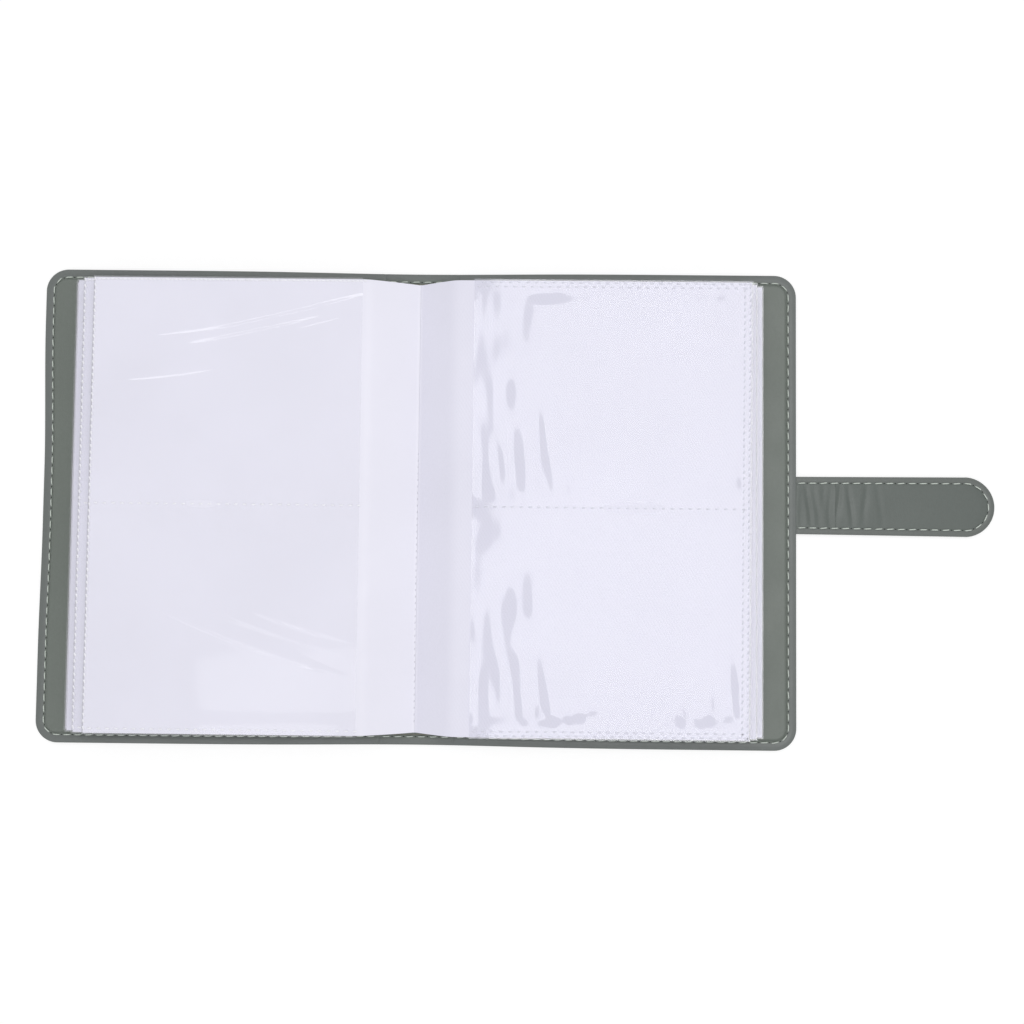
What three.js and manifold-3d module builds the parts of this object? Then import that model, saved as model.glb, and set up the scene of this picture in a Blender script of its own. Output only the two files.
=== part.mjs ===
// Slip-in photo album, lying open flat on a table with its closing strap out to the right.
// Millimetres, +Z up. X runs across the open spread towards the strap, Y runs up the pages, and
// the origin is on the table under the middle of the spine.
//
// A soft case (outer skin, stiff boards, lining, sewn along the edge) folds on two creases beside
// the spine. Twelve pocket leaves are glued by their inner edges to a ridge on the spine. A leaf is
// a white divider sheet in a clear sleeve with two pockets on each face; between the ridge and the
// sleeve a plain margin of the sheet flexes, so the leaves dip to the gutter.
import * as THREE from "three";
import { mergeVertices } from "three/addons/utils/BufferGeometryUtils.js";
import Module from "manifold-3d";

const wasm = await Module();
wasm.setup();

// Case
const END_CLEARANCE = 5.4; // from a leaf's end to the cover's edge, along the spine
const COVER_WIDTH = 139; // from a fold to the fore edge
const SPINE_WIDTH = 30; // from fold to fold
const CORNER_RADIUS = 9;
const CORNER_STEPS = 8;
const SKIN_THICKNESS = 0.8;
const BOARD_THICKNESS = 1.2;
const LINING_THICKNESS = 0.6;
const FOLD_CLEARANCE = 0.15; // between the skins either side of a crease when it is folded square
const EDGE_BAND = 3.8; // flat sewn band around the edge
const CREASE_BAND = 1.6; // flat band beside a fold
const BOARD_RAMP = 1.1; // width over which the lining climbs onto the board
const BOARD_PLAY = 0.1; // side gap around a board in the lining

// Edge sewing
const STITCH_INSET = 3.3; // from the case's edge to the thread
const THREAD_WIDTH = 0.5;
const THREAD_HEIGHT = 0.35;

// Leaves, counted from the gutter down: 1 is the top leaf of its side
const LEAVES_PER_SIDE = 6;
const POCKET_DEPTH = 109; // clear size across the page, for a print 108 wide
const POCKET_HEIGHT = 87.6; // clear size up the page, for a print 86 high
const WELD_WIDTH = 1.6;
const END_WELD = 3.2; // at the sleeve's top and bottom
const SHEET_THICKNESS = 0.3;
const FILM_THICKNESS = 0.2;
const POCKET_GAP = 0.3; // empty pocket, film to sheet
const SHEET_INSET = 0.6; // the divider stops this far inside the sleeve's edge
const SLEEVE_SETBACK = 0.4; // from the score line to the pocket mouths
const MARGIN_WIDTH = 20.9; // from the binding to the score line
const SCORE_GAP = 0.15; // either side of a score line
const LEAF_AIR = 0.5; // between leaves that lie open
const LEAF_SEAT = 0.05; // under the lowest leaf
const LEAF_CLOSED_GAP = 0.2; // between the right-hand leaves in the closed album

// Binding
const BINDING_EDGE = 1; // ridge outside the outermost leaf
const BINDING_PLAY = 0.3; // from the ridge to a leaf's root line
const BINDING_SHORT = 1; // the ridge stops this far inside the leaves
const ROOT_OFFSET = 0.75; // from the gutter to the first root line
const ROOT_RISE = 0.4; // each leaf is rooted this much higher than the one outside it
const TOP_SLOPE = 15.5; // sloping part of the top right leaf's margin
const TOP_BAND = 7.2; // flat strip of the top right leaf, beside its pockets

// Strap
const STRAP_ROOT_WIDTH = 23.4;
const STRAP_TIP_WIDTH = 24.4;
const STRAP_LENGTH = 80.7; // visible length, fore edge to tip
const STRAP_OFFSET = 2.4; // above the middle of the fore edge
const STRAP_TAB_LENGTH = 10; // hidden between the case's layers
const STRAP_TAB_THICKNESS = 0.5;
const STRAP_TAB_PROUD = 0.15;
const STRAP_TAB_PLAY = 0.3;
const STRAP_AXIS_DEPTH = 0.2; // a strap crease's axis under the strap's lining face
const STRAP_EDGE_GAP = 0.25; // from the fore edge to the strap when it stands along it
const STRAP_CREASE_GAP = 0.3;
const STRAP_REST_GAP = 0.5; // from the closed front cover to the strap's lining face
const STRAP_STITCH_INSET = 2.6;
const STRAP_STEPS = 20;
const MAGNET_DIAMETER = 11;
const MAGNET_THICKNESS = 0.7;
const MAGNET_TIP_DISTANCE = 12.2; // from the strap's tip to the magnet's middle
const MAGNET_PLAY = 0.3;
const COVER_MAGNET_THICKNESS = 1;
const MAGNET_STEPS = 24;

// Derived levels and places
const creaseThickness = SKIN_THICKNESS + LINING_THICKNESS;
const coverTop = SKIN_THICKNESS + BOARD_THICKNESS + LINING_THICKNESS;
const foldAxisZ = creaseThickness / 2;
const foldGap = creaseThickness / 2 + FOLD_CLEARANCE;
const foldX = SPINE_WIDTH / 2;
const leafThickness = SHEET_THICKNESS + 2 * (POCKET_GAP + FILM_THICKNESS);
const leafStep = leafThickness + LEAF_AIR;
const sleeveWidth = POCKET_DEPTH + WELD_WIDTH;
const leafHeight = 2 * POCKET_HEIGHT + WELD_WIDTH + 2 * END_WELD;
const coverHeight = leafHeight + 2 * END_CLEARANCE;
const lowestRootZ = coverTop + LEAF_SEAT + leafThickness / 2; // the outermost leaf lies flat
const bindingBase = lowestRootZ - coverTop - BINDING_PLAY; // ridge thickness under it
const ridgeReach = foldX - foldGap - CREASE_BAND - BOARD_RAMP;
const rightPitch = leafThickness + LEAF_CLOSED_GAP;
const leftPitch = (ridgeReach - BINDING_EDGE - ROOT_OFFSET) / (LEAVES_PER_SIDE - 1);
const closedHeight = SPINE_WIDTH + creaseThickness; // the closed album, table to front skin
const strapAxisZ = creaseThickness - STRAP_AXIS_DEPTH;
const strapFold1 = COVER_WIDTH + STRAP_EDGE_GAP + STRAP_AXIS_DEPTH;
const strapFold2 = strapFold1 + closedHeight + STRAP_REST_GAP - strapAxisZ + STRAP_AXIS_DEPTH;
const strapTip = COVER_WIDTH + STRAP_LENGTH;
const strapMagnetX = strapTip - MAGNET_TIP_DISTANCE;
const coverMagnetX = strapFold1 - (strapMagnetX - strapFold2);

// Materials, one per kind of piece
const paint = (color, roughness, metalness = 0, more = {}) =>
  new THREE.MeshStandardMaterial({ color, roughness, metalness, ...more });
const skinMaterial = paint(0x6d736e, 0.62);
const liningMaterial = paint(0x757b76, 0.78);
const boardMaterial = paint(0x8a8274, 0.9);
const threadMaterial = paint(0xd5d9d2, 0.7);
const sheetMaterial = paint(0xe6e6f1, 0.55);
const filmMaterial = paint(0xf0f0fa, 0.12, 0, { transparent: true, opacity: 0.3 });
const bindingMaterial = paint(0xdadae4, 0.7);
const magnetMaterial = paint(0x9c9ca0, 0.35, 0.95);

// Turns a closed geometry into a solid for joining and cutting.
function toSolid(geometry) {
  const bare = geometry.clone();
  bare.deleteAttribute("normal");
  bare.deleteAttribute("uv");
  const merged = mergeVertices(bare, 1e-4);
  return new wasm.Manifold(
    new wasm.Mesh({
      numProp: 3,
      vertProperties: merged.attributes.position.array,
      triVerts: new Uint32Array(merged.index.array),
    }),
  );
}

// Turns a solid back into a geometry with flat normals.
function toGeometry(solid) {
  const { vertProperties, triVerts } = solid.getMesh();
  const geometry = new THREE.BufferGeometry();
  geometry.setAttribute("position", new THREE.BufferAttribute(new Float32Array(vertProperties), 3));
  geometry.setIndex(new THREE.BufferAttribute(new Uint32Array(triVerts), 1));
  geometry.computeVertexNormals();
  return geometry;
}

// Cuts tools out of a body.
function cut(body, ...tools) {
  return toGeometry(tools.reduce((left, tool) => left.subtract(toSolid(tool)), toSolid(body)));
}

// A box between two corners.
function block(x0, x1, y0, y1, z0, z1) {
  return new THREE.BoxGeometry(x1 - x0, y1 - y0, z1 - z0).translate(
    (x0 + x1) / 2,
    (y0 + y1) / 2,
    (z0 + z1) / 2,
  );
}

// A flat disc standing on a level.
function disc(x, y, z, diameter, height) {
  return new THREE.CylinderGeometry(diameter / 2, diameter / 2, height, MAGNET_STEPS)
    .rotateX(Math.PI / 2)
    .translate(x, y, z + height / 2);
}

// A straight-sided plate over an outline.
function plate(outline, z, thickness) {
  return new THREE.ExtrudeGeometry(new THREE.Shape(outline), {
    depth: thickness,
    bevelEnabled: false,
  }).translate(0, 0, z);
}

// A solid through a stack of outlines with equal point counts, each at its own level.
function loft(rings) {
  const count = rings[0].outline.length;
  const positions = rings.flatMap(({ outline, z }) => outline.flatMap((p) => [p.x, p.y, z]));
  const faces = THREE.ShapeUtils.triangulateShape(rings[0].outline, []);
  const last = (rings.length - 1) * count;
  const index = faces.flatMap(([a, b, c]) => [c, b, a]);
  for (let ring = 0; ring < rings.length - 1; ring++)
    for (let i = 0; i < count; i++) {
      const a = ring * count + i;
      const b = ring * count + ((i + 1) % count);
      index.push(a, b, b + count, a, b + count, a + count);
    }
  THREE.ShapeUtils.triangulateShape(rings.at(-1).outline, []).forEach(([a, b, c]) =>
    index.push(last + a, last + b, last + c),
  );
  const geometry = new THREE.BufferGeometry();
  geometry.setAttribute("position", new THREE.Float32BufferAttribute(positions, 3));
  geometry.setIndex(index);
  geometry.computeVertexNormals();
  return geometry;
}

// Points of an arc about a centre, angles in degrees.
function arc(x, y, radius, from, to, steps) {
  return Array.from({ length: steps + 1 }, (_, i) => {
    const angle = THREE.MathUtils.degToRad(from + ((to - from) * i) / steps);
    return new THREE.Vector2(x + radius * Math.cos(angle), y + radius * Math.sin(angle));
  });
}

// Outline of one cover: square at the fold, rounded at the fore edge. X is measured from the fold.
function coverOutline(inset, foldInset) {
  const x0 = foldGap + foldInset;
  const x1 = COVER_WIDTH - inset;
  const y = coverHeight / 2 - inset;
  const r = Math.max(CORNER_RADIUS - inset, 1);
  return [
    new THREE.Vector2(x0, -y),
    ...arc(x1 - r, r - y, r, -90, 0, CORNER_STEPS),
    ...arc(x1 - r, y - r, r, 0, 90, CORNER_STEPS),
    new THREE.Vector2(x0, y),
  ];
}

// Outline of the spine panel, a rectangle between the two folds.
function spineOutline(inset, foldInset) {
  const x = foldX - foldGap - foldInset;
  const y = coverHeight / 2 - inset;
  return [
    new THREE.Vector2(-x, -y),
    new THREE.Vector2(x, -y),
    new THREE.Vector2(x, y),
    new THREE.Vector2(-x, y),
  ];
}

// The lining drops from the board to the sewn band and the crease bands.
function liningBody(outline) {
  const bandZ = SKIN_THICKNESS + LINING_THICKNESS;
  const board = plate(
    outline(EDGE_BAND + BOARD_RAMP, CREASE_BAND + BOARD_RAMP),
    SKIN_THICKNESS - 1,
    BOARD_THICKNESS + 1,
  );
  return cut(
    loft([
      { outline: outline(0, 0), z: SKIN_THICKNESS },
      { outline: outline(0, 0), z: bandZ },
      { outline: outline(EDGE_BAND, CREASE_BAND), z: bandZ },
      { outline: outline(EDGE_BAND + BOARD_RAMP, CREASE_BAND + BOARD_RAMP), z: coverTop },
    ]),
    board,
  );
}

// A board fills the lining's pocket but for a little play at its sides.
function boardBody(outline) {
  return plate(
    outline(EDGE_BAND + BOARD_RAMP + BOARD_PLAY, CREASE_BAND + BOARD_RAMP + BOARD_PLAY),
    SKIN_THICKNESS,
    BOARD_THICKNESS,
  );
}

// A line of sewing thread that follows three sides of an outline, open at the fold.
function threadBody(outer, inner, z) {
  return plate([...outer, ...inner.reverse()], z, THREAD_HEIGHT);
}

// Half the strap's width at a distance from the fold; it widens a little towards the tip.
function strapHalfWidth(x) {
  const share = (x - COVER_WIDTH) / STRAP_LENGTH;
  return THREE.MathUtils.lerp(STRAP_ROOT_WIDTH, STRAP_TIP_WIDTH, share) / 2;
}

// Outline of a straight run of the strap.
function strapRun(x0, x1, inset = 0) {
  const [a, b] = [strapHalfWidth(x0) - inset, strapHalfWidth(x1) - inset];
  return [
    new THREE.Vector2(x0, -a),
    new THREE.Vector2(x1, -b),
    new THREE.Vector2(x1, b),
    new THREE.Vector2(x0, a),
  ];
}

// Outline of the strap's outer run, which ends in a half round.
function strapEnd(x0, inset = 0) {
  const r = STRAP_TIP_WIDTH / 2 - inset;
  const a = strapHalfWidth(x0) - inset;
  return [
    new THREE.Vector2(x0, -a),
    ...arc(strapTip - inset - r, 0, r, -90, 90, STRAP_STEPS),
    new THREE.Vector2(x0, a),
  ];
}

// A leaf's clear sleeve: wraps the divider's top, bottom and outer edge, holds it at the welds, and
// is open at the score line. X is measured from the score line, Z from the divider's mid plane.
function sleeveBody() {
  const top = leafHeight / 2;
  const half = leafThickness / 2;
  const sheet = SHEET_THICKNESS / 2;
  const slot = block(-1, sleeveWidth - SHEET_INSET, SHEET_INSET - top, top - SHEET_INSET, -sheet, sheet);
  const pockets = [-1, 1].flatMap((row) =>
    [-1, 1].map((face) => {
      const [y0, y1] = [(row * WELD_WIDTH) / 2, row * (WELD_WIDTH / 2 + POCKET_HEIGHT)];
      const [z0, z1] = [0, face * (sheet + POCKET_GAP)];
      return block(
        -1,
        POCKET_DEPTH,
        Math.min(y0, y1),
        Math.max(y0, y1),
        Math.min(z0, z1),
        Math.max(z0, z1),
      );
    }),
  );
  return cut(block(SLEEVE_SETBACK, sleeveWidth, -top, top, -half, half), slot, ...pockets);
}

// A flat strip of the divider sheet across the leaf's height, about the sheet's mid plane.
function sheetStrip(x0, x1) {
  const y = leafHeight / 2 - SHEET_INSET;
  return block(x0, x1, -y, y, -SHEET_THICKNESS / 2, SHEET_THICKNESS / 2);
}

function mesh(name, geometry, material) {
  const made = new THREE.Mesh(geometry, material);
  made.name = name;
  return made;
}

function group(name, x, y, z, ...children) {
  const made = new THREE.Group();
  made.name = name;
  made.position.set(x, y, z);
  if (children.length) made.add(...children);
  return made;
}

// Where a leaf is rooted on the ridge, and how far and how steeply its margin rises to the sleeve.
function leafPlace(number, pitch, slope) {
  const above = LEAVES_PER_SIDE - number;
  const rootX = ROOT_OFFSET + (number - 1) * pitch;
  const rootZ = lowestRootZ + above * ROOT_RISE;
  const rise = Math.asin((above * (leafStep - ROOT_RISE)) / slope);
  return { rootX, rootZ, rise };
}

// One leaf in the frame of its root line, reaching towards +X. The outermost leaf lies flat and its
// divider runs on to the root in one piece. The top right leaf has a flat strip beside its pockets.
function leaf(side, number) {
  const name = `leaf_${side}${number}`;
  const top = side === "R" && number === 1;
  const flat = number === LEAVES_PER_SIDE;
  const slope = top ? TOP_SLOPE : MARGIN_WIDTH;
  const { rootX, rootZ, rise } = leafPlace(number, side === "L" ? leftPitch : rightPitch, slope);
  const made = group(
    name,
    side === "L" ? -rootX : rootX,
    0,
    rootZ,
    group(`${name}_root`, 0, 0, 0),
    group(`${name}_score`, slope * Math.cos(rise), 0, slope * Math.sin(rise)),
  );
  const [root, score] = made.children;
  root.rotation.y = -rise;
  if (!flat) root.add(mesh(`${name}_margin`, sheetStrip(0, slope - SCORE_GAP), sheetMaterial));
  if (top) score.add(mesh(`${name}_band`, sheetStrip(SCORE_GAP, TOP_BAND - SCORE_GAP), sheetMaterial));
  const sheetStart = flat ? -MARGIN_WIDTH : SCORE_GAP;
  const panel = group(
    `${name}_panel`,
    top ? TOP_BAND : 0,
    0,
    0,
    mesh(`${name}_sheet`, sheetStrip(sheetStart, sleeveWidth - SHEET_INSET), sheetMaterial),
    mesh(`${name}_sleeve`, sleeveBody(), filmMaterial),
  );
  score.add(panel);
  if (side === "L") made.rotation.z = Math.PI;
  return made;
}

// The ridge that the leaves are glued to: highest at the gutter, it falls away to both sides.
function bindingBody() {
  const edge = (pitch, direction) => {
    const root = ROOT_OFFSET + (LEAVES_PER_SIDE - 1) * pitch;
    const fall = (BINDING_EDGE * ROOT_RISE) / pitch;
    return { x: direction * (root + BINDING_EDGE), z: coverTop + bindingBase - fall };
  };
  const [left, right] = [edge(leftPitch, -1), edge(rightPitch, 1)];
  const crest = coverTop + bindingBase + (LEAVES_PER_SIDE - 1) * ROOT_RISE;
  const profile = [
    new THREE.Vector2(left.x, coverTop),
    new THREE.Vector2(right.x, coverTop),
    new THREE.Vector2(right.x, right.z),
    new THREE.Vector2(ROOT_OFFSET, crest),
    new THREE.Vector2(-ROOT_OFFSET, crest),
    new THREE.Vector2(left.x, left.z),
  ];
  const length = leafHeight - 2 * BINDING_SHORT;
  return plate(profile, -length / 2, length).rotateX(Math.PI / 2);
}

// Back cover, with the strap's tab let into its skin at the fore edge.
const tab = (play) =>
  block(
    COVER_WIDTH - STRAP_TAB_LENGTH - play,
    COVER_WIDTH + (play ? 1 : STRAP_TAB_PROUD),
    STRAP_OFFSET - STRAP_ROOT_WIDTH / 2 - play,
    STRAP_OFFSET + STRAP_ROOT_WIDTH / 2 + play,
    SKIN_THICKNESS - STRAP_TAB_THICKNESS,
    SKIN_THICKNESS + (play ? 1 : 0),
  );
const threadHalf = THREAD_WIDTH / 2;
// The thread stops its own height short of a fold, so that folding square leaves it clear.
const coverThread = () =>
  threadBody(
    coverOutline(STITCH_INSET - threadHalf, THREAD_HEIGHT),
    coverOutline(STITCH_INSET + threadHalf, THREAD_HEIGHT),
    creaseThickness,
  );
const backCover = group(
  "back_cover",
  foldX,
  0,
  0,
  mesh("skin_back", cut(plate(coverOutline(0, 0), 0, SKIN_THICKNESS), tab(STRAP_TAB_PLAY)), skinMaterial),
  mesh("board_back", boardBody(coverOutline), boardMaterial),
  mesh("lining_back", liningBody(coverOutline), liningMaterial),
  mesh("thread_back", coverThread(), threadMaterial),
  mesh("strap_tab", tab(0), skinMaterial),
);

// Front cover: the same case turned half round, with a magnet let into its board.
const frontCover = group(
  "front_cover",
  -foldX,
  0,
  0,
  mesh("skin_front", plate(coverOutline(0, 0), 0, SKIN_THICKNESS), skinMaterial),
  mesh(
    "board_front",
    cut(
      boardBody(coverOutline),
      disc(coverMagnetX, -STRAP_OFFSET, 0, MAGNET_DIAMETER + 2 * MAGNET_PLAY, coverTop),
    ),
    boardMaterial,
  ),
  mesh(
    "magnet_front",
    disc(coverMagnetX, -STRAP_OFFSET, SKIN_THICKNESS, MAGNET_DIAMETER, COVER_MAGNET_THICKNESS),
    magnetMaterial,
  ),
  mesh("lining_front", liningBody(coverOutline), liningMaterial),
  mesh("thread_front", coverThread(), threadMaterial),
);
frontCover.rotation.z = Math.PI;

// Spine, with the ridge and all the leaves on it.
const spineEdge = foldX - foldGap - THREAD_HEIGHT;
const spineThread = (direction) => {
  const y = direction * (coverHeight / 2 - STITCH_INSET);
  return block(
    -spineEdge,
    spineEdge,
    y - threadHalf,
    y + threadHalf,
    creaseThickness,
    creaseThickness + THREAD_HEIGHT,
  );
};
const spine = group(
  "spine",
  0,
  0,
  0,
  mesh("skin_spine", plate(spineOutline(0, 0), 0, SKIN_THICKNESS), skinMaterial),
  mesh("board_spine", boardBody(spineOutline), boardMaterial),
  mesh("lining_spine", liningBody(spineOutline), liningMaterial),
  mesh("thread_spine_top", spineThread(1), threadMaterial),
  mesh("thread_spine_bottom", spineThread(-1), threadMaterial),
  mesh("binding_ridge", bindingBody(), bindingMaterial),
);
for (let number = LEAVES_PER_SIDE; number >= 1; number--)
  spine.add(leaf("L", number), leaf("R", number));

// Strap: one run as tall as the closed album is thick, then the run that lies on the front cover.
const strapStitch = (inset) => strapEnd(strapFold2 + STRAP_CREASE_GAP, inset);
const magnetZ = (creaseThickness - MAGNET_THICKNESS) / 2 + 0.1;
const magnetPocket = () =>
  disc(strapMagnetX, 0, magnetZ, MAGNET_DIAMETER + 2 * MAGNET_PLAY, MAGNET_THICKNESS);
const strapRun1 = strapRun(strapFold1 + STRAP_CREASE_GAP, strapFold2 - STRAP_CREASE_GAP);
const strapRun2 = strapEnd(strapFold2 + STRAP_CREASE_GAP);
const strap = group(
  "strap",
  foldX,
  STRAP_OFFSET,
  0,
  mesh("strap_skin_1", plate(strapRun1, 0, SKIN_THICKNESS), skinMaterial),
  mesh("strap_lining_1", plate(strapRun1, SKIN_THICKNESS, LINING_THICKNESS), liningMaterial),
  mesh("strap_skin_2", cut(plate(strapRun2, 0, SKIN_THICKNESS), magnetPocket()), skinMaterial),
  mesh(
    "strap_lining_2",
    cut(plate(strapRun2, SKIN_THICKNESS, LINING_THICKNESS), magnetPocket()),
    liningMaterial,
  ),
  mesh(
    "magnet_strap",
    disc(strapMagnetX, 0, magnetZ, MAGNET_DIAMETER, MAGNET_THICKNESS),
    magnetMaterial,
  ),
  mesh(
    "thread_strap",
    threadBody(
      strapStitch(STRAP_STITCH_INSET - threadHalf),
      strapStitch(STRAP_STITCH_INSET + threadHalf),
      creaseThickness,
    ),
    threadMaterial,
  ),
  group("strap_fold_1", strapFold1, 0, strapAxisZ),
  group("strap_fold_2", strapFold2, 0, strapAxisZ),
);

const album = new THREE.Group();
album.add(backCover, spine, frontCover, strap);
spine.add(group("spine_fold", foldX, 0, foldAxisZ), group("front_cover_fold", -foldX, 0, foldAxisZ));

export default album;
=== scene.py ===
"""Slip-in photo album lying open flat, with its closing strap out to the right.

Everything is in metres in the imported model's frame: X runs across the open spread towards the
strap, Y runs up the pages and Z is up. Sizes in the classes are millimetres and are turned into
metres when a mesh is made.
"""

from __future__ import annotations

import logging
import math
from collections.abc import Callable
from dataclasses import dataclass
from enum import Enum

import bmesh
import bpy
import numpy as np
from mathutils import Euler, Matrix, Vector


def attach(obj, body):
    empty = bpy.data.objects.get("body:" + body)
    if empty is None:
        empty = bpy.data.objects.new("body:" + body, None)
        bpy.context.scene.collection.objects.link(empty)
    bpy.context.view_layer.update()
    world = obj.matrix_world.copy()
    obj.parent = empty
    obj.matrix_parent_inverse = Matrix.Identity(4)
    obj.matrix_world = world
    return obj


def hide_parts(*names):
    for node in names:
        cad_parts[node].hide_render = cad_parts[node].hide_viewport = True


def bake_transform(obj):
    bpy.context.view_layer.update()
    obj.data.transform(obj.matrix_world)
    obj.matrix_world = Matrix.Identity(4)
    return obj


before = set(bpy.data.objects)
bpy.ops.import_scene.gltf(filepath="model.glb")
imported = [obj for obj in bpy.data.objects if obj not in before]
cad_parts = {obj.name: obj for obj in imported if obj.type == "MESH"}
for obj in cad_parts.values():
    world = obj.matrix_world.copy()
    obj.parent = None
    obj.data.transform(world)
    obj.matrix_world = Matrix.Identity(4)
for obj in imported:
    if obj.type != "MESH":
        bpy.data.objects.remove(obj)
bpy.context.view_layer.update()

MM = 0.001
LOG = logging.getLogger("album")
Array = np.ndarray
Colour = tuple[float, float, float]
Place = tuple[float, float, float]
Height = Callable[[Array, Array, Array], Array]


class Side(Enum):
    """The two halves of the open album; the value turns +X into the half's own direction."""

    RIGHT = 1
    LEFT = -1

    @property
    def letter(self) -> str:
        """Letter that the leaves of this side carry in their names."""
        return "R" if self is Side.RIGHT else "L"

    @property
    def cover(self) -> str:
        """Word that the cover of this side carries in its names."""
        return "back" if self is Side.RIGHT else "front"


class Face(Enum):
    """The two faces of a leaf: UPPER faces the reader, LOWER lies on the leaf below."""

    UPPER = 1
    LOWER = -1


def linear(red: int, green: int, blue: int) -> Colour:
    """Linear colour of an 8-bit display colour: a power curve above a short straight foot."""
    c = np.array([red, green, blue]) / 255
    return tuple(np.where(c <= 0.04045, c / 12.92, ((c + 0.055) / 1.055) ** 2.4).tolist())


def smooth(start: float, end: float, value: Array) -> Array:
    """Zero before start and one after end, with the cubic 3t^2 - 2t^3 between them."""
    t = np.clip((value - start) / (end - start), 0, 1)
    return t * t * (3 - 2 * t)


def bump(value: Array, centre: float, width: float) -> Array:
    """Bell curve exp(-((v - centre) / width)^2)."""
    return np.exp(-(((value - centre) / width) ** 2))


# Meshes


def grid_faces(rows: int, columns: int, first: int = 0, wrap: bool = False) -> Array:
    """Quads of a grid of points stored row by row.

    Args:
        rows: number of rows of points.
        columns: number of points in a row.
        first: index of the grid's first point.
        wrap: joins the last column to the first.

    Returns:
        An array of four point indices for each quad.
    """
    r, c = np.meshgrid(np.arange(rows - 1), np.arange(columns if wrap else columns - 1), indexing="ij")
    a = r * columns + c
    b = r * columns + (c + 1) % columns
    return (np.stack([a, b, b + columns, a + columns], -1) + first).reshape(-1, 4)


def make_object(name: str, points: Array, faces: list, turned: bool = False) -> bpy.types.Object:
    """Makes an object from points in millimetres.

    Args:
        name: object's name.
        points: array of points, in millimetres.
        faces: lists of point indices.
        turned: gives the points a half turn about Z, for the left half of the album.

    Returns:
        The new object, linked to the scene.
    """
    points = np.asarray(points, float).reshape(-1, 3) * MM
    if turned:
        points = points * [-1, -1, 1]
    mesh = bpy.data.meshes.new(name)
    mesh.from_pydata(points.tolist(), [], faces)
    made = bpy.data.objects.new(name, mesh)
    bpy.context.scene.collection.objects.link(made)
    return made


def close_up(made: bpy.types.Object, sharp: float = 40, merge: float = 1e-6) -> bpy.types.Object:
    """Merges doubles, fills open ends, points faces outwards and shades the mesh smooth.

    Args:
        made: object to finish.
        sharp: edges steeper than this angle in degrees stay sharp.
        merge: points closer than this are one point.

    Returns:
        The same object.
    """
    work = bmesh.new()
    work.from_mesh(made.data)
    bmesh.ops.remove_doubles(work, verts=work.verts, dist=merge)
    open_edges = [edge for edge in work.edges if edge.is_boundary]
    if open_edges:
        bmesh.ops.holes_fill(work, edges=open_edges, sides=0)
    bmesh.ops.recalc_face_normals(work, faces=work.faces)
    work.to_mesh(made.data)
    work.free()
    made.data.polygons.foreach_set("use_smooth", np.ones(len(made.data.polygons), bool))
    made.data.set_sharp_from_angle(angle=math.radians(sharp))
    return made


def slab(name: str, top: Array, bottom: Array, turned: bool = False, sharp: float = 40) -> bpy.types.Object:
    """Closed sheet between two grids of points of the same shape.

    Args:
        name: object's name.
        top: points of the upper face, rows by columns by three, in millimetres.
        bottom: points of the lower face.
        turned: gives the points a half turn about Z.
        sharp: edges steeper than this angle in degrees stay sharp.

    Returns:
        The new object, with material index 0 on its upper face and 1 on its lower face and rim.
    """
    rows, columns = top.shape[:2]
    count = rows * columns
    ring = np.concatenate(
        [
            np.arange(columns),
            np.arange(1, rows) * columns + columns - 1,
            (rows - 1) * columns + np.arange(columns - 2, -1, -1),
            np.arange(rows - 2, 0, -1) * columns,
        ]
    )
    after = np.roll(ring, -1)
    wall = np.stack([ring, after, after + count, ring + count], -1)
    upper = grid_faces(rows, columns)
    lower = grid_faces(rows, columns, count)[:, ::-1]
    faces = np.concatenate([upper, lower, wall])
    points = np.concatenate([top.reshape(-1, 3), bottom.reshape(-1, 3)])
    made = make_object(name, points, faces.tolist(), turned)
    index = np.concatenate([np.zeros(len(upper), np.int32), np.ones(len(lower) + len(wall), np.int32)])
    made.data.polygons.foreach_set("material_index", index)
    return close_up(made, sharp)


def copies(
    name: str, shape: Array, faces: Array, places: Array, along: Array, up: Array
) -> bpy.types.Object:
    """One mesh with a small shape repeated at many places.

    A shape's point (a, b, c) goes to place + a * along + b * (up x along) + c * up.

    Args:
        name: object's name.
        shape: points of the small shape, in millimetres.
        faces: quads of the small shape.
        places: a point for each copy, in millimetres.
        along: a unit vector for each copy.
        up: a unit vector for each copy, square to along.

    Returns:
        The new object.
    """
    across = np.cross(up, along)
    axes = np.stack([along, across, up], 1)
    points = places[:, None, :] + np.einsum("pk,nkj->npj", shape, axes)
    index = faces[None] + (np.arange(len(places)) * len(shape))[:, None, None]
    made = make_object(name, points, index.reshape(-1, faces.shape[1]).tolist())
    return close_up(made, 60, 1e-8)


def rolled_rim(top: Array, low: Array, out: Array, reach: float) -> list[Array]:
    """Rings of points that round a sheet's edge.

    At a turn t from -60 to 60 degrees a point stands reach times cos t outside the edge, and sin t
    half thicknesses above the middle of the sheet.

    Args:
        top: edge of the upper face.
        low: edge of the lower face, under the same places.
        out: outward direction at each point.
        reach: how far the rim stands out.

    Returns:
        Five rings, from the lowest to the highest.
    """
    middle, half = (top[:, 2] + low[:, 2]) / 2, (top[:, 2] - low[:, 2]) / 2
    turn = np.radians([-60, -30, 0, 30, 60])[:, None]
    xy = top[:, :2] + (reach * np.cos(turn))[..., None] * out
    return list(np.concatenate([xy, (middle + half * np.sin(turn))[..., None]], -1))


def plan(made: bpy.types.Object) -> Array:
    """Places of a mesh's points in the plan.

    Args:
        made: object to read.

    Returns:
        x and y in millimetres, two columns.
    """
    flat = np.empty(len(made.data.vertices) * 3, np.float32)
    made.data.vertices.foreach_get("co", flat)
    return flat.reshape(-1, 3)[:, :2] / MM


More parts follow.
